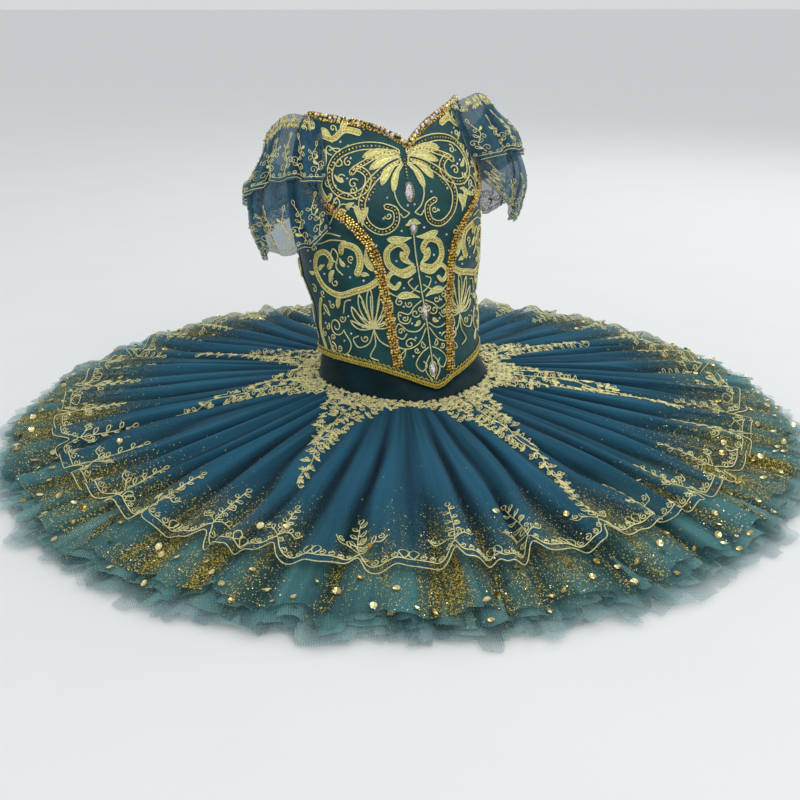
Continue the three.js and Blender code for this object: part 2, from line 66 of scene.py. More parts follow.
@dataclass(frozen=True)
class Curve:
    """A smooth curve through a short table of (where, value) rows that never overshoots them."""

    rows: tuple[tuple[float, float], ...]

    def __call__(self, x: Array | float) -> Array:
        """The value at x, level past both ends.

        Args:
            x: Where to read the curve.

        Returns:
            The values, of x's shape.
        """
        at = np.array([row[0] for row in self.rows], float)
        value = np.array([row[1] for row in self.rows], float)
        x = np.clip(np.asarray(x, float), at[0], at[-1])
        span = np.diff(at)
        slope = np.diff(value) / span
        tangent = np.zeros(len(at))
        tangent[0], tangent[-1] = slope[0], slope[-1]
        before, after = slope[:-1], slope[1:]
        same = before * after > 0
        tangent[1:-1][same] = 2 * (before * after)[same] / (before + after)[same]
        i = np.clip(np.searchsorted(at, x, side="right") - 1, 0, len(span) - 1)
        t = (x - at[i]) / span[i]
        ends = (1 + 2 * t) * (1 - t) ** 2 * value[i] + t * t * (3 - 2 * t) * value[i + 1]
        return ends + span[i] * (t * (1 - t) ** 2 * tangent[i] + t * t * (t - 1) * tangent[i + 1])


def mix(a: Array | float, b: Array | float, t: Array | float) -> Array:
    """From a at t 0 to b at t 1."""
    return a + (b - a) * t


def unit(v: Array) -> Array:
    """Vectors of length one, along the last axis."""
    return v / np.maximum(np.linalg.norm(v, axis=-1, keepdims=True), 1e-9)


def away_from(turn: Array | float, middle: float) -> Array:
    """Degrees from a direction, between -180 and 180."""
    return (turn - middle + 180) % 360 - 180


def hip_dip(turn: Array) -> Array:
    """How far the hips' line dips towards the front, in millimetres."""
    return DIP_DEEP * np.exp(-(away_from(turn, DIP_TURN) / DIP_WIDE) ** 2)


def hip_radius(angle: float) -> float:
    """The hips' radius in millimetres at an angle in radians."""
    return math.hypot(HIPS[0] * math.sin(angle), HIPS[1] * math.cos(angle))


def run_along(line: Array) -> Array:
    """The distance from a line's start to each of its points."""
    return np.concatenate([[0], np.cumsum(np.linalg.norm(np.diff(line, axis=0), axis=1))])


def uneven_sizes(rng: Rng, low: float, high: float, count: int) -> Array:
    """A random scale for each stud, the same along its three axes."""
    return rng.uniform(low, high, (count, 1)) * np.ones((1, 3))


def turning(axis: int, degrees: float) -> Array:
    """A rotation matrix about one axis.

    Args:
        axis: 0, 1 or 2 for X, Y or Z.
        degrees: How far it turns.

    Returns:
        The 3 by 3 matrix.
    """
    c, s = math.cos(math.radians(degrees)), math.sin(math.radians(degrees))
    i, j = [(1, 2), (2, 0), (0, 1)][axis]
    matrix = np.eye(3)
    matrix[i, i] = matrix[j, j] = c
    matrix[i, j], matrix[j, i] = -s, s
    return matrix


class BodiceForm:
    """The bodice's surface. A turn is in degrees from its front, towards +X, and z is over the waist."""

    half = Curve(((-45, 100), (0, 101), (60, 103), (130, 113), (190, 118), (245, 110), (310, 97)))
    front = Curve(((-45, 81), (0, 82), (60, 84), (130, 92), (190, 103), (245, 98), (310, 74)))
    back = Curve(((-45, 74), (0, 76), (60, 78), (130, 83), (190, 88), (245, 86), (310, 80)))
    hem = Curve(((-180, 12), (-135, 18), (-89, 18), (-64, 15), (-39, 6), (-18, -9), (0, -26), (8, -32),
                 (23, -22), (70, -6), (100, 0), (140, 7), (180, 12)))
    neck = Curve(((0, 259), (6, 269), (17, 281), (33, 291), (48, 297), (66, 302), (78, 284), (96, 238),
                  (130, 231), (180, 218)))
    seam = Curve(((0, 18), (0.17, 20.4), (0.32, 21.7), (0.46, 23.5), (0.53, 27), (0.575, 32),
                  (0.635, 42), (0.69, 62), (0.8, 74), (1, 80)))
    cup_turn, cup_z, cup_rise, cup_wide, cup_tall = 30, 212, 6, 19, 36
    place = np.array([-2.5, 0, 91])
    lean = turning(0, -5) @ turning(1, -5.5) @ turning(2, BODICE_TURN)

    def height(self, turn: Array, share: Array) -> Array:
        """The height at a share of the way from the hem to the neck."""
        return mix(self.hem(turn), self.neck(np.abs(turn)), share)

    def crease(self, turn: Array, z: Array) -> Array:
        """Soft dents and the tucks over the point, in millimetres.

        Args:
            turn: Degrees from the front.
            z: Height over the waist.

        Returns:
            How far the cloth stands out.
        """
        tucks = sum(np.exp(-((turn - at - 0.02 * z) / 1.1) ** 2) for at in (-11.5, -7.5, 11.0, 15.5))
        low = np.clip((48 - z) / 40, 0, 1)
        slump = np.sin(0.11 * z + 0.05 * turn) * np.exp(-((np.abs(turn) - 105) / 32) ** 2)
        waves = np.sin(0.045 * z + 0.031 * turn + 0.8) * np.sin(0.067 * turn - 0.02 * z)
        return 0.9 * waves + 1.1 * slump * np.clip(z / 40, 0, 1) - 0.8 * tucks * low

    def point(self, turn: Array, z: Array, off: Array | float = 0.0) -> Array:
        """Points of the bodice in the part's frame, in metres.

        Args:
            turn: Degrees from the front.
            z: Height over the waist.
            off: Distance outside the cloth.

        Returns:
            The points, with one more axis than turn.
        """
        turn, z = np.broadcast_arrays(np.asarray(turn, float), np.asarray(z, float))
        bust = np.exp(-((np.abs(turn) - self.cup_turn) / self.cup_wide) ** 2
                      - ((z - self.cup_z) / self.cup_tall) ** 2)
        out = off + self.cup_rise * bust + self.crease(turn, z)
        depth = np.where(np.abs(turn) < 90, self.front(z), self.back(z)) + out
        angle = np.radians(turn)
        local = np.stack([(self.half(z) + out) * np.sin(angle), -depth * np.cos(angle), z], -1)
        return (local @ self.lean.T + self.place) * MM

    def lay(self, flat: Array, off: float) -> Array:
        """Embroidery on the cloth, drawn by the distance across from the front's middle and by z."""
        return self.point(np.degrees(flat[:, 0] / self.half(flat[:, 1])), flat[:, 1], off)


@dataclass(frozen=True)
class SkirtLayer:
    """One layer of net: s goes once round from 0 to 1, and share from the hips to the rim."""

    node: str
    pleats: int
    rim: float
    low: float
    high: float
    dip: float
    swing: float
    valley: float
    ridge: float
    phase: float
    hips: tuple[float, float] = HIPS
    scallops: int = 0
    fine: tuple[tuple[int, float, float], ...] = ()
    ragged: float = 0.0
    floor: float = 0.0
    loose: float = 0.0
    ends: int = 0

    def turn(self, s: Array) -> Array:
        """Degrees from the skirt's front."""
        sway = 0.0034 * np.sin(TAU * (5 * s + self.phase))
        return 360 * (s + sway + 0.0015 * np.sin(TAU * (13 * s + 3 * self.phase)))

    def wave(self, s: Array) -> Array:
        """The pleat's height, from 1 on a ridge down to -1 in a valley.

        Args:
            s: How far round, from 0 to 1.

        Returns:
            The height.
        """
        t = (self.pleats * s) % 1
        down = np.where(t < self.valley, t / self.valley, (1 - t) / (1 - self.valley))
        return 1 - 2 * (0.5 - 0.5 * np.cos(math.pi * down)) ** self.ridge

    def bent(self, s: Array, share: Array) -> Array:
        """Where a pleat of the hips has come to, further out: pleats run in soft curves."""
        near = 0.0045 * np.sin(TAU * (11 * s + 0.9 * share)) + 0.002 * np.sin(TAU * (29 * s + 1.4 * share))
        return (s + share * near * min(1.0, 60 / self.pleats)) % 1

    def strength(self, s: Array) -> Array:
        """How high each pleat stands, as a share.

        Args:
            s: How far round, from 0 to 1.

        Returns:
            The share.
        """
        drift = np.sin(TAU * (23 * s + self.phase)) + np.sin(TAU * (37 * s + 2 * self.phase))
        steady = 0.88 + 0.12 * np.sin(TAU * (7 * s + self.phase))
        return np.clip(steady + self.loose * drift, 0.05, 1.25)

    def ending(self, s: Array) -> tuple[Array, Array]:
        """A number from 0 to 1 for each square pleat end, and how near its edge a place is.

        Args:
            s: How far round, from 0 to 1.

        Returns:
            The number and the nearness.
        """
        sway = 0.8 * np.sin(TAU * (9 * s + self.phase)) + 0.35 * np.sin(TAU * (31 * s + 2 * self.phase))
        at = self.ends * s + sway
        cell = np.floor(at) % max(self.ends, 1)
        return (np.sin(12.99 * cell + 7 * self.phase) * 437.58) % 1, np.abs(2 * (at % 1) - 1)

    def lapped(self, s: Array, share: Array) -> Array:
        """How far a pleat end lies over its neighbours, from -0.5 to 0.5."""
        lot, _ = self.ending(s)
        return ((7 * lot) % 1 - 0.5) * np.clip((share - 0.3) / 0.3, 0, 1) * min(self.ends, 1)

    def hem(self, s: Array) -> Array:
        """The radius of the layer's outer edge.

        Args:
            s: How far round, from 0 to 1.

        Returns:
            The radius, in millimetres.
        """
        at = (self.scallops * s) % 1
        lean = 0.06 * ((np.floor(self.scallops * s + 1e-9) * 0.618) % 1)
        near = np.minimum(at / (0.05 + lean), (1 - at) / (0.11 - lean))
        lobes = 17 * np.exp(-near ** 2) + 2.4 * np.exp(-((at - 0.45) / 0.11) ** 2)
        torn = sum(np.sin(TAU * (n * s + 0.37 * n)) for n in (19, 43, 71)) * self.ragged / 6
        lot, edge = self.ending(s)
        corner = np.clip((edge - 0.75) / 0.25, 0, 1) ** 3
        return self.rim - min(self.scallops, 1) * lobes + torn + self.ragged * (lot - 0.6 - 0.2 * corner)

    def point(self, s: Array, share: Array, off: Array | float = 0.0) -> Array:
        """Points on top of the layer, in metres.

        Args:
            s: How far round, from 0 to 1.
            share: How far out, from 0 to 1.
            off: Height above the net.

        Returns:
            The points, with one more axis than s.
        """
        s, share = np.broadcast_arrays(np.asarray(s, float), np.asarray(share, float))
        turn = self.turn(s)
        top = self.high - self.dip * hip_dip(turn)
        bend = self.bent(s, share)
        swing = mix(0.8, self.swing * self.strength(s), share) * self.wave(bend)
        for count, size, start in self.fine:
            swing = swing + size * share * np.sin(TAU * (count * bend + start))
        swing = swing + 1.6 * self.lapped(s, share)
        z = mix(top, self.low, share) + 2.5 * np.sin(math.pi * share) + swing + off
        out = self.hem(s)
        angle = np.radians(turn)
        x = mix(self.hips[0], out, share) * np.sin(angle)
        y = -mix(self.hips[1], out, share) * np.cos(angle)
        return np.stack([x, y, np.maximum(z, self.floor + off)], -1) * MM

    def share_at(self, s: Array, radius: Array) -> Array:
        """The share of the way out at which the layer has a radius.

        Args:
            s: How far round, from 0 to 1.
            radius: The radius, in millimetres.

        Returns:
            The share.
        """
        angle = np.radians(self.turn(s))
        start = np.hypot(self.hips[0] * np.sin(angle), self.hips[1] * np.cos(angle))
        return (radius - start) / (self.hem(s) - start)


# Meshes

def mesh_object(name: str, points: Array, faces: Array, material: Material,
                corner_uv: Array | None = None, marks: dict[str, Array] | None = None) -> Piece:
    """A mesh object at the origin.

    Args:
        name: The piece's name.
        points: Vertices, in metres.
        faces: Rows of vertex numbers, all of one length.
        material: The finish.
        corner_uv: One UV pair for each corner of each face, in metres of cloth.
        marks: Numbers for each vertex by the name of the attribute that keeps them.

    Returns:
        The object, linked to the scene.
    """
    mesh = bpy.data.meshes.new(name)
    mesh.from_pydata(points.reshape(-1, 3).tolist(), [], faces.tolist())
    if corner_uv is not None:
        layer = mesh.uv_layers.new(name="UVMap")
        layer.data.foreach_set("uv", corner_uv.astype(np.float32).ravel())
    for label, values in (marks or {}).items():
        mesh.attributes.new(label, "FLOAT", "POINT").data.foreach_set(
            "value", values.astype(np.float32).ravel())
    mesh.polygons.foreach_set("use_smooth", np.ones(len(mesh.polygons), bool))
    mesh.materials.append(material)
    mesh.update()
    made = bpy.data.objects.new(name, mesh)
    bpy.context.scene.collection.objects.link(made)
    return made


def cloth_uv(points: Array) -> Array:
    """UV in metres of cloth: along each row and down each column of a grid.

    Args:
        points: Rows and columns of points, in metres.

    Returns:
        A UV pair for each point.
    """
    across = np.linalg.norm(np.diff(points, axis=1), axis=-1)
    down = np.linalg.norm(np.diff(points, axis=0), axis=-1)
    u = np.concatenate([np.zeros((len(points), 1)), np.cumsum(across, 1)], 1)
    v = np.concatenate([np.zeros((1, points.shape[1])), np.cumsum(down, 0)], 0)
    return np.stack([u, v], -1)


def grid_normals(points: Array, ring: bool) -> Array:
    """Unit normals of a grid of points."""
    across = np.roll(points, -1, 1) - np.roll(points, 1, 1) if ring else np.gradient(points, axis=1)
    return unit(np.cross(across, np.gradient(points, axis=0)))


def sheet_object(name: str, points: Array, material: Material, ring: bool = False,
                 wall: float = 0.0, flip: bool = False, marks: dict[str, Array] | None = None,
                 uv: Array | None = None) -> Piece:
    """A sheet of cloth over a grid, or a closed shell with a wall's thickness.

    Args:
        name: The piece's name.
        points: Rows and columns of points, in metres.
        material: The finish.
        ring: Whether the rows close on themselves.
        wall: The wall's thickness in metres, or 0 for a single sheet.
        flip: Whether the faces look the other way.
        marks: Numbers for each point by the name of the attribute that keeps them.
        uv: UV of each point, or None to measure it along the cloth.

    Returns:
        The object.
    """
    rows, columns = points.shape[:2]
    closed = np.concatenate([points, points[:, :1]], 1) if ring else points
    wide = closed.shape[1]
    if uv is None:
        uv = cloth_uv(closed)
    elif ring:
        uv = np.concatenate([uv, uv[:, :1]], 1)
    uv = uv.reshape(-1, 2)
    vertex = (np.arange(rows)[:, None] * columns + np.arange(wide)[None, :] % columns).ravel()
    index = np.arange(rows * wide).reshape(rows, wide)
    quads = np.stack([index[:-1, :-1], index[:-1, 1:], index[1:, 1:], index[1:, :-1]], -1).reshape(-1, 4)
    quads = quads[:, ::-1] if flip else quads
    if not wall:
        return mesh_object(name, points, vertex[quads], material, uv[quads], marks)
    inner = points - wall * grid_normals(points, ring) * (-1 if flip else 1)
    count = rows * columns
    rims = [index[0], index[-1, ::-1]] + ([] if ring else [index[::-1, 0], index[:, -1]])
    edge = np.concatenate([np.stack([rim[:-1], rim[1:]], -1) for rim in rims])
    edge = edge[:, ::-1] if flip else edge
    sides = np.stack([vertex[edge[:, 0]] + count, vertex[edge[:, 1]] + count, vertex[edge[:, 1]],
                      vertex[edge[:, 0]]], -1)
    faces = np.concatenate([vertex[quads], vertex[quads[:, ::-1]] + count, sides])
    corners = np.concatenate([uv[quads], uv[quads[:, ::-1]], uv[edge[:, [0, 1, 1, 0]]]])
    both = np.concatenate([points.reshape(-1, 3), inner.reshape(-1, 3)])
    doubled = {label: np.tile(values.ravel(), 2) for label, values in (marks or {}).items()}
    return mesh_object(name, both, faces, material, corners, doubled)


def spans(points: Array) -> tuple[float, float]:
    """The longest row and the longest column of a grid of points, in metres."""
    return tuple(float(np.linalg.norm(np.diff(points, axis=axis), axis=-1).sum(axis).max())
                 for axis in (1, 0))


def area_of(points: Array) -> float:
    """The area of a grid of points, in square metres.

    Args:
        points: Rows and columns of points, in metres.

    Returns:
        The area.
    """
    side = np.diff(points, axis=1)[:-1]
    down = np.diff(points, axis=0)[:, :-1]
    return float(np.linalg.norm(np.cross(side, down), axis=-1).sum())


# Node trees that make what repeats

class Stud(Enum):
    """What stands on each point: its primitive and settings."""

    BEAD = ("GeometryNodeMeshIcoSphere", {"Radius": 1.0, "Subdivisions": 1})
    ROUND = ("GeometryNodeMeshIcoSphere", {"Radius": 1.0, "Subdivisions": 2})
    STONE = ("GeometryNodeMeshCone", {"Vertices": 8, "Side Segments": 1, "Radius Top": 0.5,
                                     "Radius Bottom": 1.0, "Depth": 0.6})
    CUP = ("GeometryNodeMeshCone", {"Vertices": 9, "Side Segments": 1, "Radius Top": 1.0,
                                   "Radius Bottom": 0.0, "Depth": 0.35})
    FLAKE = ("GeometryNodeMeshCircle", {"Vertices": 5, "Radius": 1.0})

    @property
    def fill(self) -> str | None:
        """How the primitive's ends are filled, where that is not its default."""
        return {Stud.CUP: "NONE", Stud.FLAKE: "NGON"}.get(self)


def put(tree: bpy.types.NodeTree, socket: Socket, value: object) -> None:
    """Links a socket or sets its value.

    Args:
        tree: The node tree.
        socket: The input.
        value: Another node's output, or the value.
    """
    if isinstance(value, Socket):
        tree.links.new(value, socket)
    else:
        socket.default_value = value


def add_node(tree: bpy.types.NodeTree, kind: str, settings: dict | None = None,
             **values: object) -> bpy.types.Node:
    """Adds a node, with its settings and its sockets' values or links.

    Args:
        tree: The node tree.
        kind: The node's type.
        settings: The node's own properties.
        **values: Socket values by name, with _ for a space, or _0 for the first socket.

    Returns:
        The node.
    """
    node = tree.nodes.new(kind)
    for key, value in (settings or {}).items():
        setattr(node, key, value)
    for key, value in values.items():
        put(tree, node.inputs[int(key[1:]) if key[1:].isdigit() else key.replace("_", " ")], value)
    return node


def new_tree(name: str, inputs: dict[str, str]) -> tuple[bpy.types.NodeTree, Callable]:
    """An empty geometry tree with named inputs.

    Args:
        name: The tree's name.
        inputs: Socket types by input name, besides the geometry.

    Returns:
        The tree, and the function that adds a node to it.
    """
    tree = bpy.data.node_groups.new(name, "GeometryNodeTree")
    tree.interface.new_socket("Geometry", in_out="INPUT", socket_type="NodeSocketGeometry")
    for label, kind in inputs.items():
        tree.interface.new_socket(label, in_out="INPUT", socket_type=kind)
    tree.interface.new_socket("Geometry", in_out="OUTPUT", socket_type="NodeSocketGeometry")

    return tree, partial(add_node, tree)


def cord_tree() -> bpy.types.NodeTree:
    """Drawn lines become round cords."""
    tree, add = new_tree("cord_tree", {"Radius": "NodeSocketFloat", "Sides": "NodeSocketInt",
                                       "Material": "NodeSocketMaterial"})
    given = add("NodeGroupInput").outputs
    line = add("GeometryNodeMeshToCurve", Mesh=given["Geometry"])
    ring = add("GeometryNodeCurvePrimitiveCircle", Resolution=given["Sides"], Radius=given["Radius"])
    cord = add("GeometryNodeCurveToMesh", Curve=line.outputs[0], Profile_Curve=ring.outputs[0],
               Fill_Caps=True)
    soft = add("GeometryNodeSetShadeSmooth", _0=cord.outputs[0])
    real = add("GeometryNodeRealizeInstances", Geometry=soft.outputs[0])
    coated = add("GeometryNodeSetMaterial", Geometry=real.outputs[0], Material=given["Material"])
    add("NodeGroupOutput", Geometry=coated.outputs[0])
    return tree


def stud_tree(stud: Stud) -> bpy.types.NodeTree:
    """A stud stands on each point, turned and stretched by the point's own attributes.

    Args:
        stud: What stands there.

    Returns:
        The tree.
    """
    tree, add = new_tree(f"{stud.name.lower()}_tree", {"Size": "NodeSocketFloat",
                                                      "Material": "NodeSocketMaterial"})
    given = add("NodeGroupInput").outputs
    shape = tree.nodes.new(stud.value[0])
    for key, value in stud.value[1].items():
        shape.inputs[key].default_value = value
    if stud.fill:
        shape.fill_type = stud.fill
    turn = add("GeometryNodeInputNamedAttribute", {"data_type": "FLOAT_VECTOR"}, Name="turn")
    stretch = add("GeometryNodeInputNamedAttribute", {"data_type": "FLOAT_VECTOR"}, Name="stretch")
    scaled = add("ShaderNodeVectorMath", {"operation": "SCALE"}, Vector=stretch.outputs["Attribute"],
                 Scale=given["Size"])
    rotation = add("FunctionNodeEulerToRotation", Euler=turn.outputs["Attribute"])
    points = add("GeometryNodeMeshToPoints", Mesh=given["Geometry"])
    placed = add("GeometryNodeInstanceOnPoints", Points=points.outputs[0], Instance=shape.outputs[0],
                 Rotation=rotation.outputs[0], Scale=scaled.outputs[0])
    real = add("GeometryNodeRealizeInstances", Geometry=placed.outputs[0])
    coated = add("GeometryNodeSetMaterial", Geometry=real.outputs[0], Material=given["Material"])
    add("NodeGroupOutput", Geometry=coated.outputs[0])
    return tree


class Workshop:
    """Holds the node trees and turns what they make into plain meshes."""

    def __init__(self) -> None:
        """One tree for cords and one for each stud."""
        self.cords = cord_tree()
        self.studs = {stud: stud_tree(stud) for stud in Stud}

    def realize(self, name: str, mesh: bpy.types.Mesh, tree: bpy.types.NodeTree,
                inputs: dict[str, object]) -> Piece:
        """Runs a tree on a mesh and keeps the result as a plain mesh.

        Args:
            name: The new piece's name.
            mesh: Points or lines.
            tree: The node tree.
            inputs: Values by the input's name.

        Returns:
            The piece.
        """
        source = bpy.data.objects.new(f"{name}_source", mesh)
        bpy.context.scene.collection.objects.link(source)
        modifier = source.modifiers.new(name, "NODES")
        modifier.node_group = tree
        by_name = {item.name: item.identifier for item in tree.interface.items_tree
                   if item.in_out == "INPUT"}
        for label, value in inputs.items():
            modifier[by_name[label]] = value
        made = bpy.data.meshes.new_from_object(
            source.evaluated_get(bpy.context.evaluated_depsgraph_get()))
        made.name = name
        bpy.data.objects.remove(source)
        bpy.data.meshes.remove(mesh)
        piece = bpy.data.objects.new(name, made)
        bpy.context.scene.collection.objects.link(piece)
        return piece

    def cord_piece(self, name: str, lines: list[Array], radius: float, material: Material,
                   sides: int = 5) -> Piece:
        """Cords along lines of points in metres, all of one radius.

        Args:
            name: The piece's name.
            lines: The cords' middle lines.
            radius: Their radius, in metres.
            material: The finish.
            sides: How many sides each has.

        Returns:
            The piece.
        """
        points = np.concatenate(lines)
        starts = np.cumsum([0] + [len(line) for line in lines])
        edges = np.concatenate([np.stack([np.arange(a, b - 1), np.arange(a + 1, b)], 1)
                                for a, b in zip(starts[:-1], starts[1:])])
        mesh = bpy.data.meshes.new(f"{name}_lines")
        mesh.from_pydata(points.tolist(), edges.tolist(), [])
        return self.realize(name, mesh, self.cords,
                            {"Radius": radius, "Sides": sides, "Material": material})

    def stud_piece(self, name: str, stud: Stud, places: Array, normal: Array, along: Array,
                   stretch: Array, size: float, material: Material) -> Piece:
        """Studs on points.

        Args:
            name: The piece's name.
            stud: What stands on each point.
            places: The points, in metres.
            normal: Which way each stud faces.
            along: Which way each stud's own X runs.
            stretch: Three scales for each stud.
            size: The scale of all of them, in metres.
            material: Their finish.

        Returns:
            The piece.
        """
        n = unit(normal)
        t = unit(along - (along * n).sum(-1, keepdims=True) * n)
        b = np.cross(n, t)
        turn = np.stack([np.arctan2(b[:, 2], n[:, 2]), np.arcsin(np.clip(-t[:, 2], -1, 1)),
                         np.arctan2(t[:, 1], t[:, 0])], -1)
        mesh = bpy.data.meshes.new(f"{name}_points")
        mesh.from_pydata(places.tolist(), [], [])
        for label, data in (("turn", turn), ("stretch", np.broadcast_to(stretch, places.shape))):
            mesh.attributes.new(label, "FLOAT_VECTOR", "POINT").data.foreach_set(
                "vector", np.ascontiguousarray(data, np.float32).ravel())
        return self.realize(name, mesh, self.studs[stud], {"Size": size, "Material": material})


# Finishes

def colour(red: int, green: int, blue: int) -> Colour:
    """A screen colour as light."""
    return tuple(float(c / 12.92 if c <= 0.04045 else ((c + 0.055) / 1.055) ** 2.4)
                 for c in (red / 255, green / 255, blue / 255))


class Shader:
    """A material's node tree, built by short calls."""

    def __init__(self, name: str) -> None:
        """An empty material with a Principled shader on its output.

        Args:
            name: The material's name.
        """
        self.material = bpy.data.materials.new(name)
        self.material.use_nodes = True
        self.tree = self.material.node_tree
        self.tree.nodes.clear()
        self.principled = self.tree.nodes.new("ShaderNodeBsdfPrincipled")
        output = self.tree.nodes.new("ShaderNodeOutputMaterial")
        self.tree.links.new(self.principled.outputs[0], output.inputs["Surface"])

    def add(self, kind: str, settings: dict | None = None, **values: object) -> bpy.types.Node:
        """Adds a node, as add_node does."""
        return add_node(self.tree, kind, settings, **values)

    def set(self, **values: object) -> None:
        """Sets or links the Principled shader's sockets."""
        for key, value in values.items():
            put(self.tree, self.principled.inputs[key.replace("_", " ")], value)

    def ramp(self, factor: Socket, low: Colour, high: Colour, start: float = 0.0,
             end: float = 1.0) -> Socket:
        """A colour between two by a factor.

        Args:
            factor: What it goes by.
            low: The first colour.
            high: The second colour.
            start: The factor up to which it is the first.
            end: The factor from which it is the second.

        Returns:
            The colour.
        """
        node = self.add("ShaderNodeValToRGB", _0=factor)
        stops = node.color_ramp.elements
        stops[0].position, stops[0].color = start, (*low, 1)
        stops[1].position, stops[1].color = end, (*high, 1)
        return node.outputs["Color"]

    def math(self, operation: str, a: object, b: object = 0.0, c: object = 0.0) -> Socket:
        """One step of arithmetic."""
        return self.add("ShaderNodeMath", {"operation": operation}, _0=a, _1=b, _2=c).outputs[0]

    def place(self, source: str = "UV", scale: float | tuple = 1.0) -> Socket:
        """Scaled coordinates from the UV map or the object.

        Args:
            source: Which of the coordinates.
            scale: One scale, or one for each axis.

        Returns:
            The coordinates.
        """
        found = self.add("ShaderNodeTexCoord").outputs[source]
        size = scale if isinstance(scale, tuple) else (scale,) * 3
        return self.add("ShaderNodeMapping", Vector=found, Scale=size).outputs[0]

    def radial(self, around: float, outward: float) -> Socket:
        """Coordinates along the skirt's rays.

        Args:
            around: How many units a radian round the skirt takes.
            outward: How many units a metre outwards takes.

        Returns:
            The coordinates.
        """
        flat = self.add("ShaderNodeVectorMath", {"operation": "MULTIPLY"}, _0=self.place("Object"),
                        _1=(1, 1, 0)).outputs[0]
        way = self.add("ShaderNodeVectorMath", {"operation": "NORMALIZE"}, _0=flat).outputs[0]
        reach = self.add("ShaderNodeVectorMath", {"operation": "LENGTH"}, _0=flat).outputs["Value"]
        spread = self.add("ShaderNodeVectorMath", {"operation": "SCALE"}, _0=way, Scale=around)
        rise = self.add("ShaderNodeCombineXYZ", Z=self.math("MULTIPLY", reach, outward))
        return self.add("ShaderNodeVectorMath", _0=spread.outputs[0], _1=rise.outputs[0]).outputs[0]

    def noise(self, where: Socket, scale: float, detail: float = 3.0) -> Socket:
        """Soft noise from 0 to 1."""
        return self.add("ShaderNodeTexNoise", Vector=where, Scale=scale, Detail=detail).outputs[0]

    def bump(self, height: Socket, strength: float, distance: float) -> None:
        """Gives the surface a bump."""
        made = self.add("ShaderNodeBump", Height=height, Strength=strength, Distance=distance)
        self.set(Normal=made.outputs[0])


@dataclass(frozen=True)
class Satin:
    """Duchess satin: a tight weave with a soft directional shine."""

    name: str
    colour: Colour
    light: Colour
    shine: float = 0.35
    cloud: float = 38.0
    weave: float = 620.0

    def build(self) -> Material:
        """The material."""
        sh = Shader(self.name)
        uv = sh.place()
        cloud = sh.noise(uv, self.cloud)
        sh.set(Base_Color=sh.ramp(cloud, self.colour, self.light, 0.3, 0.75), Roughness=0.42,
               Sheen_Weight=0.1, Sheen_Roughness=0.4, Anisotropic=0.45, Specular_IOR_Level=self.shine)
        weave = sh.add("ShaderNodeTexWave", {"bands_direction": "DIAGONAL"}, Vector=uv, Scale=self.weave,
                       Distortion=0.6)
        creases = sh.noise(sh.place(scale=(14.0, 46.0, 1.0)), 1.0, 4.0)
        height = sh.math("MULTIPLY_ADD", creases, 9.0, weave.outputs[1])
        sh.bump(height, 0.35, 0.0003)
        return sh.material


@dataclass(frozen=True)
class Net:
    """Tulle or stiff net: threads round small cells and gold dust on them.

    The first attribute is painted shade and light from the pleats: it pulls the colour towards deep in the
    valleys and towards pale on the ridges. "dust" is the share covered with gold, and "thin" is how much of
    the net is missing.
    """

    name: str
    deep: Colour
    pale: Colour
    thread: float
    hole: float
    cell: float = 2.0
    sheen: float = 0.1
    rays: bool = True
    flake: float = 1.3
    haze: Colour = colour(64, 66, 30)
    gilt: tuple[Colour, Colour] = (colour(104, 92, 22), colour(232, 212, 104))

    def build(self) -> Material:
        """The material."""
        sh = Shader(self.name)
        uv = sh.place()
        fold, dust, thin = (sh.add("ShaderNodeAttribute", {"attribute_name": label}).outputs["Fac"]
                            for label in ("fold", "dust", "thin"))
        streak = sh.noise(sh.radial(34.0, 5.0) if self.rays else sh.place(scale=30.0), 1.0, 4.0)
        cells = sh.add("ShaderNodeTexVoronoi", {"feature": "DISTANCE_TO_EDGE"}, Vector=uv,
                       Scale=1000 / self.cell, Randomness=0.25)
        edge = sh.add("ShaderNodeMapRange", Value=cells.outputs["Distance"], From_Min=0.08,
                      From_Max=0.2, To_Min=self.thread, To_Max=self.hole).outputs[0]
        # Painted shade and light: the fold attribute darkens the net in the valleys and lightens it on the
        # ridges.
        tone = sh.math("MULTIPLY_ADD", streak, 0.9, sh.math("SUBTRACT", fold, 0.45))
        plain = sh.ramp(tone, self.deep, self.pale)
        rich = sh.add("ShaderNodeMapRange", Value=streak, From_Min=0.42, From_Max=0.6, To_Min=0.25,
                      To_Max=1.5).outputs[0]
        share = sh.math("MULTIPLY", dust, rich)
        haze = sh.add("ShaderNodeMix", {"data_type": "RGBA"}, _0=sh.math("MULTIPLY", share, 0.9), _6=plain,
                      _7=(*self.haze, 1)).outputs[2]
        flakes = sh.add("ShaderNodeTexVoronoi", {"feature": "F1"}, Vector=uv, Scale=1000 / self.flake)
        lot = sh.add("ShaderNodeSeparateColor", _0=flakes.outputs["Color"]).outputs
        near = sh.math("LESS_THAN", flakes.outputs["Distance"], 0.46)
        gold = sh.math("MULTIPLY", sh.math("LESS_THAN", lot[0], share), near)
        gilt = sh.ramp(lot[1], *self.gilt)
        tint = sh.add("ShaderNodeMix", {"data_type": "RGBA"}, _0=gold, _6=haze, _7=gilt).outputs[2]
        clear = sh.math("MULTIPLY", edge, sh.math("SUBTRACT", 1.0, thin))
        sh.set(Base_Color=tint, Alpha=sh.math("MAXIMUM", clear, gold), Roughness=0.85,
               Metallic=sh.math("MULTIPLY", gold, 0.35), Specular_IOR_Level=0.1,
               Sheen_Weight=self.sheen, Sheen_Roughness=0.6, Sheen_Tint=(0.3, 0.55, 0.7, 1))
        sh.bump(streak, 0.5, 0.004)
        return sh.material


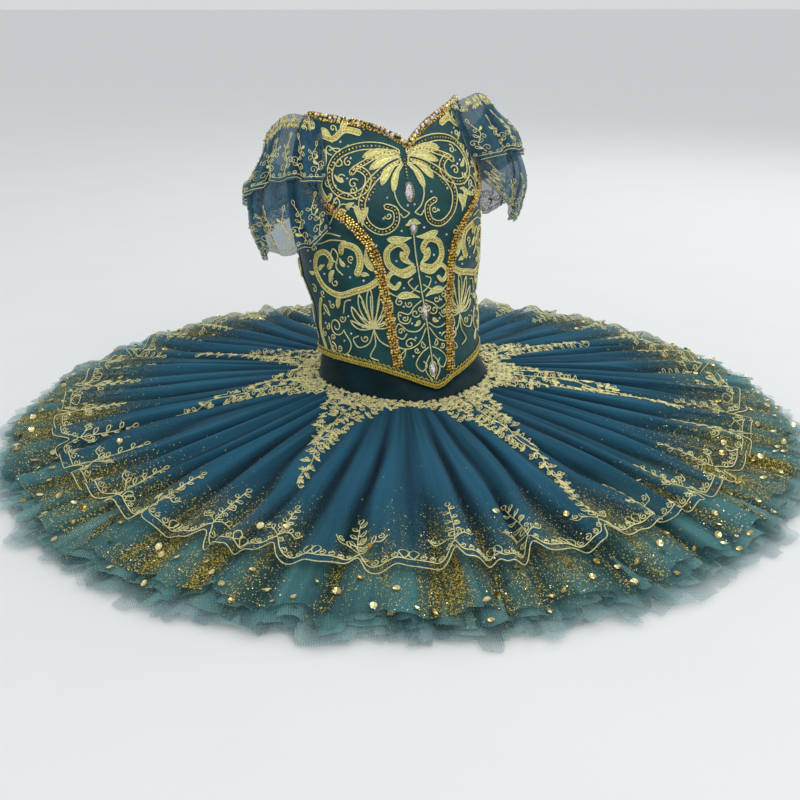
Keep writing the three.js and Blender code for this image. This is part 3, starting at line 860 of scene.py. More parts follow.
@dataclass(frozen=True)
class Metal:
    """Gold thread, beads, sequins or settings, uneven in tone from one to the next."""

    name: str
    dark: Colour
    light: Colour
    roughness: float
    metallic: float = 1.0
    grain: float = 900.0

    def build(self) -> Material:
        """The material."""
        sh = Shader(self.name)
        spot = sh.place("Object")
        tone = sh.add("ShaderNodeTexVoronoi", Vector=spot, Scale=self.grain)
        lot = sh.add("ShaderNodeSeparateColor", _0=tone.outputs["Color"]).outputs[0]
        sh.set(Base_Color=sh.ramp(lot, self.dark, self.light), Metallic=self.metallic,
               Roughness=self.roughness)
        sh.bump(sh.noise(spot, self.grain * 1.6, 1.0), 0.4, 0.0004)
        return sh.material


@dataclass(frozen=True)
class Crystal:
    """Cut stones: bright, with a faint rainbow from facet to facet."""

    name: str
    dark: Colour
    light: Colour
    facet: float = 520.0

    def build(self) -> Material:
        """The material."""
        sh = Shader(self.name)
        lot = sh.add("ShaderNodeTexVoronoi", Vector=sh.place("Object"), Scale=self.facet)
        tone = sh.add("ShaderNodeSeparateColor", _0=lot.outputs["Color"]).outputs[0]
        sh.set(Base_Color=sh.ramp(tone, self.dark, self.light), Roughness=0.06, Metallic=0.35,
               Coat_Weight=1.0, Coat_Roughness=0.03, IOR=1.9)
        return sh.material


@dataclass(frozen=True)
class Table:
    """The pale cloth that the garment stands on."""

    name: str
    colour: Colour

    def build(self) -> Material:
        """The material."""
        sh = Shader(self.name)
        spot = sh.place("Object")
        sh.set(Base_Color=sh.ramp(sh.noise(spot, 7.0), tuple(0.96 * c for c in self.colour), self.colour),
               Roughness=0.8)
        sh.bump(sh.noise(spot, 420.0), 0.12, 0.0006)
        return sh.material


def finish(kind: type, *settings: object) -> Material:
    """A field of Finishes that builds its material when the finishes are made."""
    return field(default_factory=lambda: kind(*settings).build())


@dataclass(frozen=True)
class Finishes:
    """Every finish of the garment."""

    satin: Material = finish(
        Satin, "teal_satin", colour(8, 56, 60), colour(22, 86, 86))
    tulle: Material = finish(
        Net, "petrol_tulle", colour(5, 26, 38), colour(36, 92, 116), 0.96, 0.86, 1.3, 0.12)
    glitter_net: Material = finish(
        Net, "glitter_net", colour(16, 50, 54), colour(78, 130, 132), 0.96, 0.7, 2.2)
    net: Material = finish(
        Net, "teal_net", colour(34, 82, 84), colour(112, 160, 160), 0.88, 0.46, 2.2)
    pale_net: Material = finish(
        Net, "sea_green_net", colour(72, 120, 122), colour(150, 186, 186), 0.7, 0.3, 2.2)
    organza: Material = finish(
        Net, "blue_organza", colour(8, 38, 56), colour(66, 114, 136), 0.74, 0.54, 0.8, 0.2, False)
    knit: Material = finish(
        Satin, "dark_knit", colour(4, 34, 40), colour(10, 50, 54), 0.1)
    # Painted shade: the basque's satin is the bodice's teal satin made darker, standing in for the shade under
    # the bodice's hem.
    yoke: Material = finish(
        Satin, "deep_teal_satin", colour(2, 26, 32), colour(7, 46, 52), 0.12)
    cord: Material = finish(
        Metal, "pale_gold_cord", colour(208, 200, 124), colour(250, 247, 196), 0.42, 0.35)
    braid: Material = finish(
        Metal, "gold_braid", colour(176, 148, 44), colour(240, 220, 110), 0.35, 0.5)
    fill: Material = finish(
        Metal, "gold_fill", colour(190, 182, 96), colour(250, 244, 158), 0.36, 0.45, 700.0)
    bead: Material = finish(
        Metal, "amber_beads", colour(160, 108, 28), colour(255, 230, 130), 0.2, 0.7, 330.0)
    tape: Material = finish(
        Metal, "trim_tape", colour(70, 46, 10), colour(128, 90, 26), 0.5, 0.4, 600.0)
    sequin: Material = finish(
        Metal, "gold_sequins", colour(160, 132, 50), colour(254, 242, 180), 0.15, 0.9, 120.0)
    crystal: Material = finish(
        Crystal, "clear_crystal", colour(176, 158, 178), colour(255, 250, 255))
    rose: Material = finish(
        Crystal, "rose_crystal", colour(168, 118, 96), colour(246, 206, 190))
    rhinestone: Material = finish(
        Crystal, "amber_rhinestones", colour(120, 70, 40), colour(255, 226, 190))
    emerald: Material = finish(
        Crystal, "green_crystal", colour(6, 40, 34), colour(20, 92, 72))
    table: Material = finish(
        Table, "table_cloth", colour(238, 240, 239))


# Embroidery drawn flat

def flow(knots: list[tuple[float, float]], spacing: float = 2.2) -> Array:
    """A smooth line through its knots.

    Args:
        knots: Points in millimetres.
        spacing: The distance between the line's points.

    Returns:
        The line's points.
    """
    p = np.asarray(knots, float)
    p = np.vstack([2 * p[0] - p[1], p, 2 * p[-1] - p[-2]])
    parts = []
    for a, b, c, d in zip(p[:-3], p[1:-2], p[2:-1], p[3:]):
        count = max(2, math.ceil(np.linalg.norm(c - b) / spacing))
        t = np.linspace(0, 1, count, endpoint=False)[:, None]
        parts.append(0.5 * (2 * b + (c - a) * t + (2 * a - 5 * b + 4 * c - d) * t * t
                            + (3 * b - a - 3 * c + d) * t ** 3))
    return np.vstack([*parts, p[-2:-1]])


def curl(centre: tuple[float, float], outer: float, inner: float, start: float, sweep: float) -> Array:
    """A spiral.

    Args:
        centre: Its middle.
        outer: The radius that it starts with.
        inner: The radius that it ends with.
        start: The angle that it starts at, in degrees.
        sweep: How far it winds, in degrees.

    Returns:
        Its points.
    """
    t = np.linspace(0, 1, max(6, int(abs(sweep) / 26)))
    angle = np.radians(start + sweep * t)
    radius = mix(outer, inner, t ** 0.8)
    return np.stack([centre[0] + radius * np.cos(angle), centre[1] + radius * np.sin(angle)], -1)


def evenly(line: Array, spacing: float) -> Array:
    """Points a fixed distance apart along a line.

    Args:
        line: The line's points.
        spacing: The distance between two.

    Returns:
        The new points.
    """
    run = run_along(line)
    at = np.arange(spacing / 2, run[-1], spacing)
    return np.stack([np.interp(at, run, line[:, k]) for k in range(line.shape[1])], -1)


def beside(line: Array, distance: Array | float) -> Array:
    """A line moved square to itself.

    Args:
        line: The line's points.
        distance: How far to its left, for all of it or for each point.

    Returns:
        The moved line.
    """
    along = unit(np.gradient(line, axis=0))
    square = np.stack([-along[:, 1], along[:, 0]], -1)
    return line + square * np.broadcast_to(distance, len(line))[:, None]


@dataclass
class Pattern:
    """Embroidery on flat cloth in millimetres: x across and y up."""

    cords: list[Array] = field(default_factory=list)
    ribbons: list[tuple[Array, Array, Array]] = field(default_factory=list)
    beads: list[Array] = field(default_factory=list)
    stones: list[tuple[float, float]] = field(default_factory=list)

    def cord(self, knots: list[tuple[float, float]]) -> None:
        """A single cord through knots."""
        self.cords.append(flow(knots))

    def spiral(self, *settings: object) -> None:
        """A single cord wound in a curl."""
        self.cords.append(curl(*settings))

    def band(self, line: Array, half: float, slim: float = 1.0, beaded: bool = True,
             filled: bool = True) -> None:
        """A band between two cords, with round ends.

        Args:
            line: Its middle line.
            half: Half its width at the start.
            slim: Its width at the end as a share of the start's.
            beaded: Whether beads run down its middle.
            filled: Whether gold covers the cloth between the cords.
        """
        run = run_along(line)
        t = run / run[-1]
        near = np.clip(np.minimum(run, run[-1] - run) / half, 0, 1)
        wide = half * mix(1.0, slim, t) * np.sqrt(1 - (1 - near) ** 2)
        left, right = beside(line, wide), beside(line, -wide)
        self.cords.append(np.vstack([left, right[::-1], left[:1]]))
        if filled:
            self.ribbons.append((left, line, right))
        if beaded:
            self.beads.append(evenly(line, 3.4 if filled else 4.2))

    def petal(self, base: tuple[float, float], tip: tuple[float, float], half: float,
              bend: float = 0.0, filled: bool = True, steps: int = 11) -> None:
        """A teardrop from its narrow base to its round tip.

        Args:
            base: The narrow end.
            tip: The round end.
            half: Half its greatest width.
            bend: How far its middle is pushed aside.
            filled: Whether it is filled.
            steps: How many points each side has.
        """
        a, b = np.array(base, float), np.array(tip, float)
        t = np.linspace(0, 1, steps)
        aside = np.array([-(b - a)[1], (b - a)[0]]) / max(np.linalg.norm(b - a), 1e-6)
        line = a + (b - a) * t[:, None] + aside * (bend * np.sin(math.pi * t))[:, None]
        wide = half * np.sin(math.pi * t ** 1.6) ** 0.75
        left, right = beside(line, wide), beside(line, -wide)
        self.cords.append(np.vstack([left, right[::-1]]))
        if filled:
            self.ribbons.append((left, line, right))

    def spray(self, x: float, y: float, size: float, way: int, rng: Rng) -> None:
        """One small scroll with its leaves.

        Args:
            x: Its root across.
            y: Its root's height.
            size: Its height.
            way: The side that it grows to, 1 or -1.
            rng: The seeded source of unevenness.
        """
        start = (180 if way > 0 else 0) + rng.uniform(-60, 60)
        self.spiral((x + way * 0.4 * size, y), 0.4 * size, 0.08 * size, start, -way * rng.uniform(330, 440))
        leaves = [(0.95, 0.5, 0.17), (0.3, 0.95, 0.16), (-0.45, 0.5, 0.13)]
        for across, up, half in leaves[:rng.integers(1, 4)]:
            tip = (x + way * across * size * rng.uniform(0.85, 1.15), y + up * size * rng.uniform(0.8, 1.2))
            self.petal((x, y), tip, half * size, way * 0.08 * size, bool(rng.random() < 0.25), 6)
        if rng.random() < 0.6:
            self.beads.append(np.array([[x + way * 0.4 * size, y]]))

    def fill_in(self, x: tuple[float, float], y: tuple[float, float], gap: float,
                rng: Rng) -> None:
        """Puts a small curl, leaf or stone wherever cloth is left bare.

        Args:
            x: The region's sides.
            y: The region's foot and top.
            gap: How far each stays from everything else.
            rng: The seeded source of places.
        """
        taken = np.concatenate([*self.cords, *[line for _, line, _ in self.ribbons],
                                np.array(self.stones).reshape(-1, 2)])
        for spot in np.stack([rng.uniform(*x, 900), rng.uniform(*y, 900)], -1):
            room = float(np.linalg.norm(taken - spot, axis=1).min())
            if room < gap:
                continue
            size = min(room - 1.6, 6.5)
            if rng.random() < 0.6:
                self.spiral(tuple(spot), size, 0.8, rng.uniform(0, 360), rng.choice([-1, 1]) * 420)
            elif rng.random() < 0.6:
                angle = rng.uniform(0, TAU)
                way = size * np.array([math.cos(angle), math.sin(angle)])
                self.petal(tuple(spot - way), tuple(spot + way), 2.0, 1.5, bool(rng.random() < 0.5), 8)
            else:
                self.stones.append(tuple(spot))
            around = np.radians(np.arange(0, 360, 45))
            taken = np.concatenate([taken, spot + size * np.stack([np.cos(around), np.sin(around)], -1)])

    def mirrored(self) -> "Pattern":
        """The pattern with its mirror image across x = 0."""
        flip = np.array([-1.0, 1.0])
        return Pattern(self.cords + [c * flip for c in self.cords],
                       self.ribbons + [(b * flip, m * flip, a * flip) for a, m, b in self.ribbons],
                       self.beads + [b * flip for b in self.beads],
                       self.stones + [(-x, y) for x, y in self.stones if abs(x) > 0.5])

    def moved(self, change: Callable[[Array], Array]) -> "Pattern":
        """The pattern with every point changed.

        Args:
            change: Gives new points for an array of flat points.

        Returns:
            The changed pattern.
        """
        return Pattern([change(c) for c in self.cords],
                       [tuple(change(line) for line in ribbon) for ribbon in self.ribbons],
                       [change(b) for b in self.beads],
                       [tuple(change(np.array([s]))[0]) for s in self.stones])

    def swung(self, share: float) -> "Pattern":
        """The pattern carried round the skirt by a share of a turn, where y is the radius."""
        return self.moved(lambda q: np.stack([q[:, 0] + share * TAU * q[:, 1], q[:, 1]], -1))

    def joined(self, other: "Pattern") -> "Pattern":
        """Both patterns as one."""
        return Pattern(self.cords + other.cords, self.ribbons + other.ribbons,
                       self.beads + other.beads, self.stones + other.stones)


@dataclass
class Needlework:
    """Sews a flat pattern on a surface: cords, filled bands, beads and small stones."""

    shop: Workshop
    finishes: Finishes
    lay: Lay
    cord_radius: float = 0.95
    bead_radius: float = 1.2
    sides: int = 5
    jewelled: bool = False
    fill_edge: float = 0.35
    fill_middle: float = 1.15

    def facing(self, spots: Array) -> Array:
        """The surface's unit normals at flat points."""
        return unit(self.lay(spots, 1.0) - self.lay(spots, 0.0))

    def ribbon_object(self, name: str, ribbons: list[tuple[Array, Array, Array]],
                      material: Material) -> Piece:
        """All filled bands as one raised mesh.

        Args:
            name: The piece's name.
            ribbons: The left, middle and right lines of each band.
            material: The finish.

        Returns:
            The piece.
        """
        points, faces, start = [], [], 0
        for left, line, right in ribbons:
            rows = len(line)
            points += [self.lay(left, self.fill_edge), self.lay(line, self.fill_middle),
                       self.lay(right, self.fill_edge)]
            i = np.arange(rows - 1)
            for a, b in ((0, 1), (1, 2)):
                quads = np.stack([a * rows + i, a * rows + i + 1, b * rows + i + 1, b * rows + i], -1)
                faces.append(quads + start)
            start += 3 * rows
        return mesh_object(name, np.concatenate(points), np.concatenate(faces), material)

    def studs(self, name: str, stud: Stud, spots: Array, size: float, material: Material,
              off: float = 1.2, stretch: tuple | Array = (1, 1, 1)) -> Piece:
        """Studs on flat points, facing out of the surface.

        Args:
            name: The piece's name.
            stud: What stands on each point.
            spots: The flat points.
            size: Their scale, in millimetres.
            material: The finish.
            off: Their height over the surface.
            stretch: Three scales, for all or for each.

        Returns:
            The piece.
        """
        along = np.tile([0.3, 0.5, 1.0], (len(spots), 1))
        return self.shop.stud_piece(name, stud, self.lay(spots, off), self.facing(spots), along,
                                    np.array(stretch, float), size * MM, material)

    def sew(self, name: str, pattern: Pattern) -> list[Piece]:
        """Makes every part of a pattern.

        Args:
            name: The start of the pieces' names.
            pattern: The flat pattern.

        Returns:
            The pieces.
        """
        lines = [self.lay(c, self.cord_radius) for c in pattern.cords]
        made = [self.shop.cord_piece(f"{name}_cords", lines, self.cord_radius * MM,
                                     self.finishes.cord, self.sides)]
        if pattern.ribbons:
            made.append(self.ribbon_object(f"{name}_filling", pattern.ribbons, self.finishes.fill))
        if pattern.beads:
            finish = self.finishes.rhinestone if self.jewelled else self.finishes.bead
            made.append(self.studs(f"{name}_beads", Stud.BEAD, np.concatenate(pattern.beads),
                                   self.bead_radius, finish, 1.3))
        if pattern.stones:
            made.append(self.studs(f"{name}_stones", Stud.STONE, np.array(pattern.stones), 1.5,
                                   self.finishes.crystal, 0.2))
        return made


def keep(piece: Piece, slot: str, *nodes: str) -> None:
    """Gives a piece to the body, hides the solids that it stands for, and logs its face count.

    Args:
        piece: A plain mesh at the origin.
        slot: The material slot; not used.
        *nodes: The solids that it replaces.
    """
    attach(piece, BODY)
    if nodes:
        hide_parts(*nodes)
    log.info("%s: %d faces", piece.name, len(piece.data.polygons))


# Bodice

@dataclass
class BodicePanels:
    """The seven satin panels between curved seams, with a bound upper edge."""

    form: BodiceForm
    finishes: Finishes
    shop: Workshop
    wall: float = 1.8
    rows: int = 64
    gap: float = 0.15
    usual_radius: float = 105
    side_seam: float = 90
    back_seam: float = 130

    def panel(self, name: str, start: Callable, end: Callable, columns: int) -> None:
        """One panel between two seams given as turns by the share of the height.

        Args:
            name: The solid that it stands for.
            start: The first seam.
            end: The second seam.
            columns: How many points it has across.
        """
        share = np.linspace(0, 1, self.rows)[:, None]
        inset = np.degrees(self.gap / self.usual_radius)
        turn = mix(start(share) + inset, end(share) - inset, np.linspace(0, 1, columns)[None, :])
        points = self.form.point(turn, self.form.height(turn, share))
        made = sheet_object(f"{name}_cloth", points, self.finishes.satin, wall=self.wall * MM)
        keep(made, "satin", name)
        spans(points)
        area_of(points)

    def build(self) -> None:
        """Makes the panels."""
        form = self.form
        self.panel("bodice_centre_front", lambda q: -form.seam(q), form.seam, 66)
        for word, side in (("right", 1), ("left", -1)):
            for part, near, far, columns in (
                    ("side_front", form.seam, self.side_seam, 30),
                    ("side_back", self.side_seam, self.back_seam, 18),
                    ("back", self.back_seam, 180, 20)):
                ends = [edge if callable(edge) else (lambda q, e=edge: e + 0 * q) for edge in (near, far)]
                if side < 0:
                    ends = [lambda q, f=edge: -f(q) for edge in ends[::-1]]
                self.panel(f"bodice_{part}_{word}", *ends, columns)

    def dress(self) -> None:
        """Binds the upper edge and tops the seams with thread."""
        turn = np.linspace(-179.6, 179.6, 300)
        top = self.form.point(turn, self.form.neck(np.abs(turn)), -0.6)
        piping = self.shop.cord_piece("neck_piping", [top], 1.5 * MM, self.finishes.satin, 7)
        keep(piping, "satin")
        lines = []
        for side in (1, -1):
            for seam in (self.side_seam, self.back_seam):
                for shift in (-2.2, 2.2):
                    share = np.linspace(0.05, 0.97, 90)
                    at = side * seam + shift * 0.55 + 0 * share
                    lines.append(self.form.point(at, self.form.height(at, share), 0.15))
        keep(self.shop.cord_piece("seam_stitching", lines, 0.35 * MM, self.finishes.knit, 4), "satin")


@dataclass
class BodiceEmbroidery:
    """Gold scrollwork on the bodice with filled bands, beads, stones and four long crystals."""

    form: BodiceForm
    finishes: Finishes
    shop: Workshop
    middle: Curve = Curve(((-30, 10), (42, 7), (107, 0.5), (167, -5), (260, -7)))
    marquises: tuple[tuple[float, float, float], ...] = (
        (207, 4.2, 9.5), (168, 3.2, 8.0), (66, 3.6, 9.5), (-6, 3.6, 8.5))

    def centre(self, rng: Rng) -> Pattern:
        """The middle panel's scrolls, drawn on one side of its middle line and mirrored.

        Args:
            rng: The seeded source of unevenness.

        Returns:
            The pattern.
        """
        p = Pattern()
        p.band(flow([(4, 249), (24, 259), (48, 261), (72, 254), (86, 238), (84, 219), (66, 210),
                     (48, 216), (43, 230), (53, 239), (62, 233)]), 4.0, 0.7, True, False)
        p.band(flow([(4, 243), (22, 236), (42, 221), (54, 200), (51, 178), (36, 167), (21, 173),
                     (19, 189), (31, 196)]), 3.8, 0.75, True, False)
        p.petal((4, 250), (45, 250), 5.0, 2)
        p.petal((4, 246), (40, 236), 3.6, 3)
        p.petal((4, 243), (30, 218), 4.0, 4)
        p.petal((3, 240), (18, 209), 3.2, 3)
        p.band(flow([(6, 250), (24, 252), (44, 244), (58, 238)]), 2.6, 0.8, True, False)
        p.beads.append(evenly(flow([(40, 232), (36, 222), (42, 210), (56, 204)]), 4.0))
        p.cord([(2, 238), (14, 222), (17, 206), (12, 192), (3, 184)])
        p.cord([(3, 184), (10, 180), (14, 185)])
        p.petal((3, 156), (31, 158), 4.0, -2)
        p.band(flow([(3, 121), (20, 117), (33, 128), (32, 144), (19, 151), (10, 142), (15, 132)]), 3.4, 0.8)
        p.petal((4, 124), (17, 141), 3.4, -3)
        p.band(flow([(3, 118), (16, 112), (30, 118), (38, 108), (30, 99), (23, 106)]), 2.2, 0.8, False)
        p.cord([(38, 108), (38, 96), (26, 88), (12, 92), (3, 99)])
        p.petal((4, 84), (30, 88), 3.8, 3)
        p.cord([(2, 90), (10, 96), (14, 104), (8, 108)])
        p.cord([(2, 80), (12, 74), (20, 66), (31, 70), (32, 59), (23, 55), (18, 61)])
        p.cord([(2, 52), (12, 44), (24, 46), (34, 56), (40, 44), (32, 37), (26, 43)])
        p.cord([(2, 46), (12, 30), (26, 24), (38, 28), (40, 38)])
        p.petal((30, 24), (38, 12), 2.4, 0, False)
        p.cord([(2, 22), (12, 16), (20, 4), (14, -6), (7, 0), (11, 6)])
        p.cord([(2, 12), (8, 2), (9, -8), (2, -20)])
        p.stones += [(12, 250), (46, 205), (33, 182), (26, 204), (20, 98), (24, 76), (18, 54), (30, 66),
                     (44, 152), (46, 132), (16, 36), (22, 14), (42, 86), (66, 229), (70, 244), (30, 245)]
        p.spiral((24, 30), 7.5, 1.2, 160, -420)
        p.spiral((12, 66), 6.0, 1.0, 200, 400)
        p.spiral((28, 82), 5.5, 1.0, 90, -420)
        p.fill_in((4, 34), (20, 200), 5.6, rng)
        p.fill_in((56, 84), (190, 262), 7.0, rng)
        both = p.mirrored()
        both.cords.append(flow([(0, 160), (0, 120), (0, 80), (0, 30), (0, -18)]))
        both.beads.append(evenly(flow([(0, 244), (0, 232), (0, 220)]), 3.4))
        return both.moved(lambda q: q + np.stack([self.middle(q[:, 1]), 0 * q[:, 0]], -1))

    def shoulder(self) -> Pattern:
        """Scrolls between the seam trim and the neck's side."""
        p = Pattern()
        p.band(flow([(48, 275), (66, 280), (82, 272), (98, 276), (112, 268)]), 3.2, 0.6)
        p.band(flow([(96, 262), (100, 246), (112, 240), (120, 250), (112, 258)]), 3.0, 0.7)
        p.petal((84, 268), (96, 284), 3.4, 2)
        p.petal((70, 276), (62, 288), 2.8, -2)
        p.band(flow([(104, 236), (110, 222), (102, 208), (94, 214)]), 3.4, 0.6)
        p.cord([(64, 206), (78, 214), (92, 206), (100, 192), (112, 196), (110, 206), (102, 204)])
        p.cord([(66, 196), (82, 202), (94, 192), (104, 180)])
        p.petal((62, 176), (54, 196), 3.4, -3)
        p.petal((66, 180), (68, 200), 3.0, 2)
        p.stones += [(76, 196), (88, 222), (124, 232), (74, 268), (118, 206)]
        return p

    def side(self) -> Pattern:
        """Leaves, a flower spray and scrolls below the seam trim."""
        p = Pattern()
        p.band(flow([(46, 112), (60, 104), (78, 100), (96, 96), (112, 100), (126, 110), (134, 128),
                     (128, 144), (114, 148), (106, 138), (112, 128)]), 3.4, 0.75)
        p.band(flow([(74, 118), (68, 134), (72, 150), (88, 156), (92, 144)]), 3.8, 0.7)
        p.petal((60, 150), (52, 122), 3.4, 4)
        p.petal((96, 98), (104, 80), 2.8, 2)
        p.petal((112, 112), (104, 126), 2.6, -2)
        p.cord([(92, 120), (100, 130), (96, 144), (102, 152), (106, 142), (98, 134)])
        p.cord([(84, 160), (104, 162), (124, 158), (146, 162)])
        p.cord([(90, 166), (108, 170), (128, 166), (148, 172)])
        p.band(flow([(140, 26), (146, 50), (142, 76), (132, 92)]), 2.6, 0.7, False)
        for tip, half, bend in (
                ((34, 84), 3.4, 5), ((45, 98), 3.6, 3), ((59, 103), 3.6, -2), ((73, 96), 3.6, -3),
                ((84, 82), 3.4, -5), ((31, 64), 2.6, 4), ((87, 65), 2.6, -4)):
            p.petal((58, 54), tip, half, bend, False)
            p.cord([(58, 58), (mix(58, tip[0], 0.45) - 0.4 * bend, mix(54, tip[1], 0.5)),
                    (mix(58, tip[0], 0.8), mix(54, tip[1], 0.8))])
        p.stones.append((58, 52))
        p.cord([(58, 52), (52, 38), (40, 30), (34, 38), (40, 44)])
        p.cord([(58, 52), (66, 36), (80, 32), (86, 42), (78, 46)])
        p.cord([(58, 50), (58, 34), (66, 20), (56, 14)])
        p.spiral((110, 58), 13, 3, 200, 520)
        p.cord([(98, 52), (90, 36), (98, 24), (112, 22), (124, 30), (128, 44)])
        p.cord([(96, 74), (92, 88), (84, 90)])
        p.spiral((122, 30), 8, 2, 90, 430)
        p.petal((98, 24), (90, 12), 2.2, 0, False)
        p.petal((120, 70), (130, 84), 2.4, 0, False)
        p.stones += [(90, 70), (66, 112), (84, 130), (120, 122), (118, 88), (46, 60), (72, 56), (100, 40),
                     (132, 60), (62, 68), (126, 16), (60, 158), (104, 176), (88, 182)]
        return p

    def back(self) -> Pattern:
        """The side's spray again, lighter, for the back."""
        p = Pattern()
        p.band(flow([(190, 96), (206, 108), (204, 128), (190, 134), (182, 124), (188, 114)]), 3.2, 0.75)
        p.band(flow([(190, 92), (210, 84), (230, 92), (250, 84)]), 2.8, 0.6)
        for tip in ((196, 72), (206, 78), (218, 78), (228, 70)):
            p.petal((212, 44), tip, 2.8, 2, False)
        p.cord([(212, 44), (204, 30), (192, 32), (194, 42)])
        p.cord([(212, 44), (222, 30), (236, 32), (232, 42)])
        p.spiral((252, 52), 12, 3, 180, 500)
        p.spiral((182, 60), 12, 3, 0, 480)
        p.petal((240, 96), (252, 120), 3.2, 3)
        p.petal((226, 100), (232, 128), 3.0, -3)
        p.cord([(200, 150), (220, 158), (244, 152), (262, 160)])
        p.stones += [(206, 60), (236, 58), (214, 112), (246, 104), (196, 116), (230, 146)]
        return p

    def build(self, rng: Rng) -> None:
        """Sews all of it and sets the crystals.

        Args:
            rng: The seeded source of the small curls' places.
        """
        needle = Needlework(self.shop, self.finishes, self.form.lay, 0.88, sides=4)
        half = self.shoulder().joined(self.side()).joined(self.back())
        for x, y in (((50, 146), (26, 160)), ((64, 120), (190, 284)), ((180, 262), (30, 160))):
            half.fill_in(x, y, 6.2, rng)
        sides = half.mirrored()
        for name, pattern in (("centre_embroidery", self.centre(rng)), ("side_embroidery", sides)):
            slots = {"cords": "lace", "filling": "lace", "beads": "beads", "stones": "crystals"}
            for piece in needle.sew(name, pattern):
                keep(piece, slots[piece.name.rsplit("_", 1)[1]])
        spots = np.array([(float(self.middle(z)), z) for z, _, _ in self.marquises])
        stretch = np.array([(tall, wide, 3.0) for _, wide, tall in self.marquises])
        up = self.form.lay(spots + [0, 1], 0.6) - self.form.lay(spots, 0.6)
        gems = self.shop.stud_piece("long_crystals", Stud.STONE, self.form.lay(spots, 0.6),
                                    needle.facing(spots), up, stretch, MM, self.finishes.crystal)
        keep(gems, "crystals")
        round_each = []
        for (_, wide, tall), (x, y) in zip(self.marquises, spots):
            angle = np.linspace(0, TAU, 28)
            ring = np.stack([x + (wide + 0.9) * np.sin(angle), y + (tall + 0.9) * np.cos(angle)], -1)
            round_each.append(ring)
        setting = needle.studs("crystal_settings", Stud.BEAD, np.concatenate(round_each), 0.9,
                               self.finishes.sequin, 0.9)
        keep(setting, "beads")


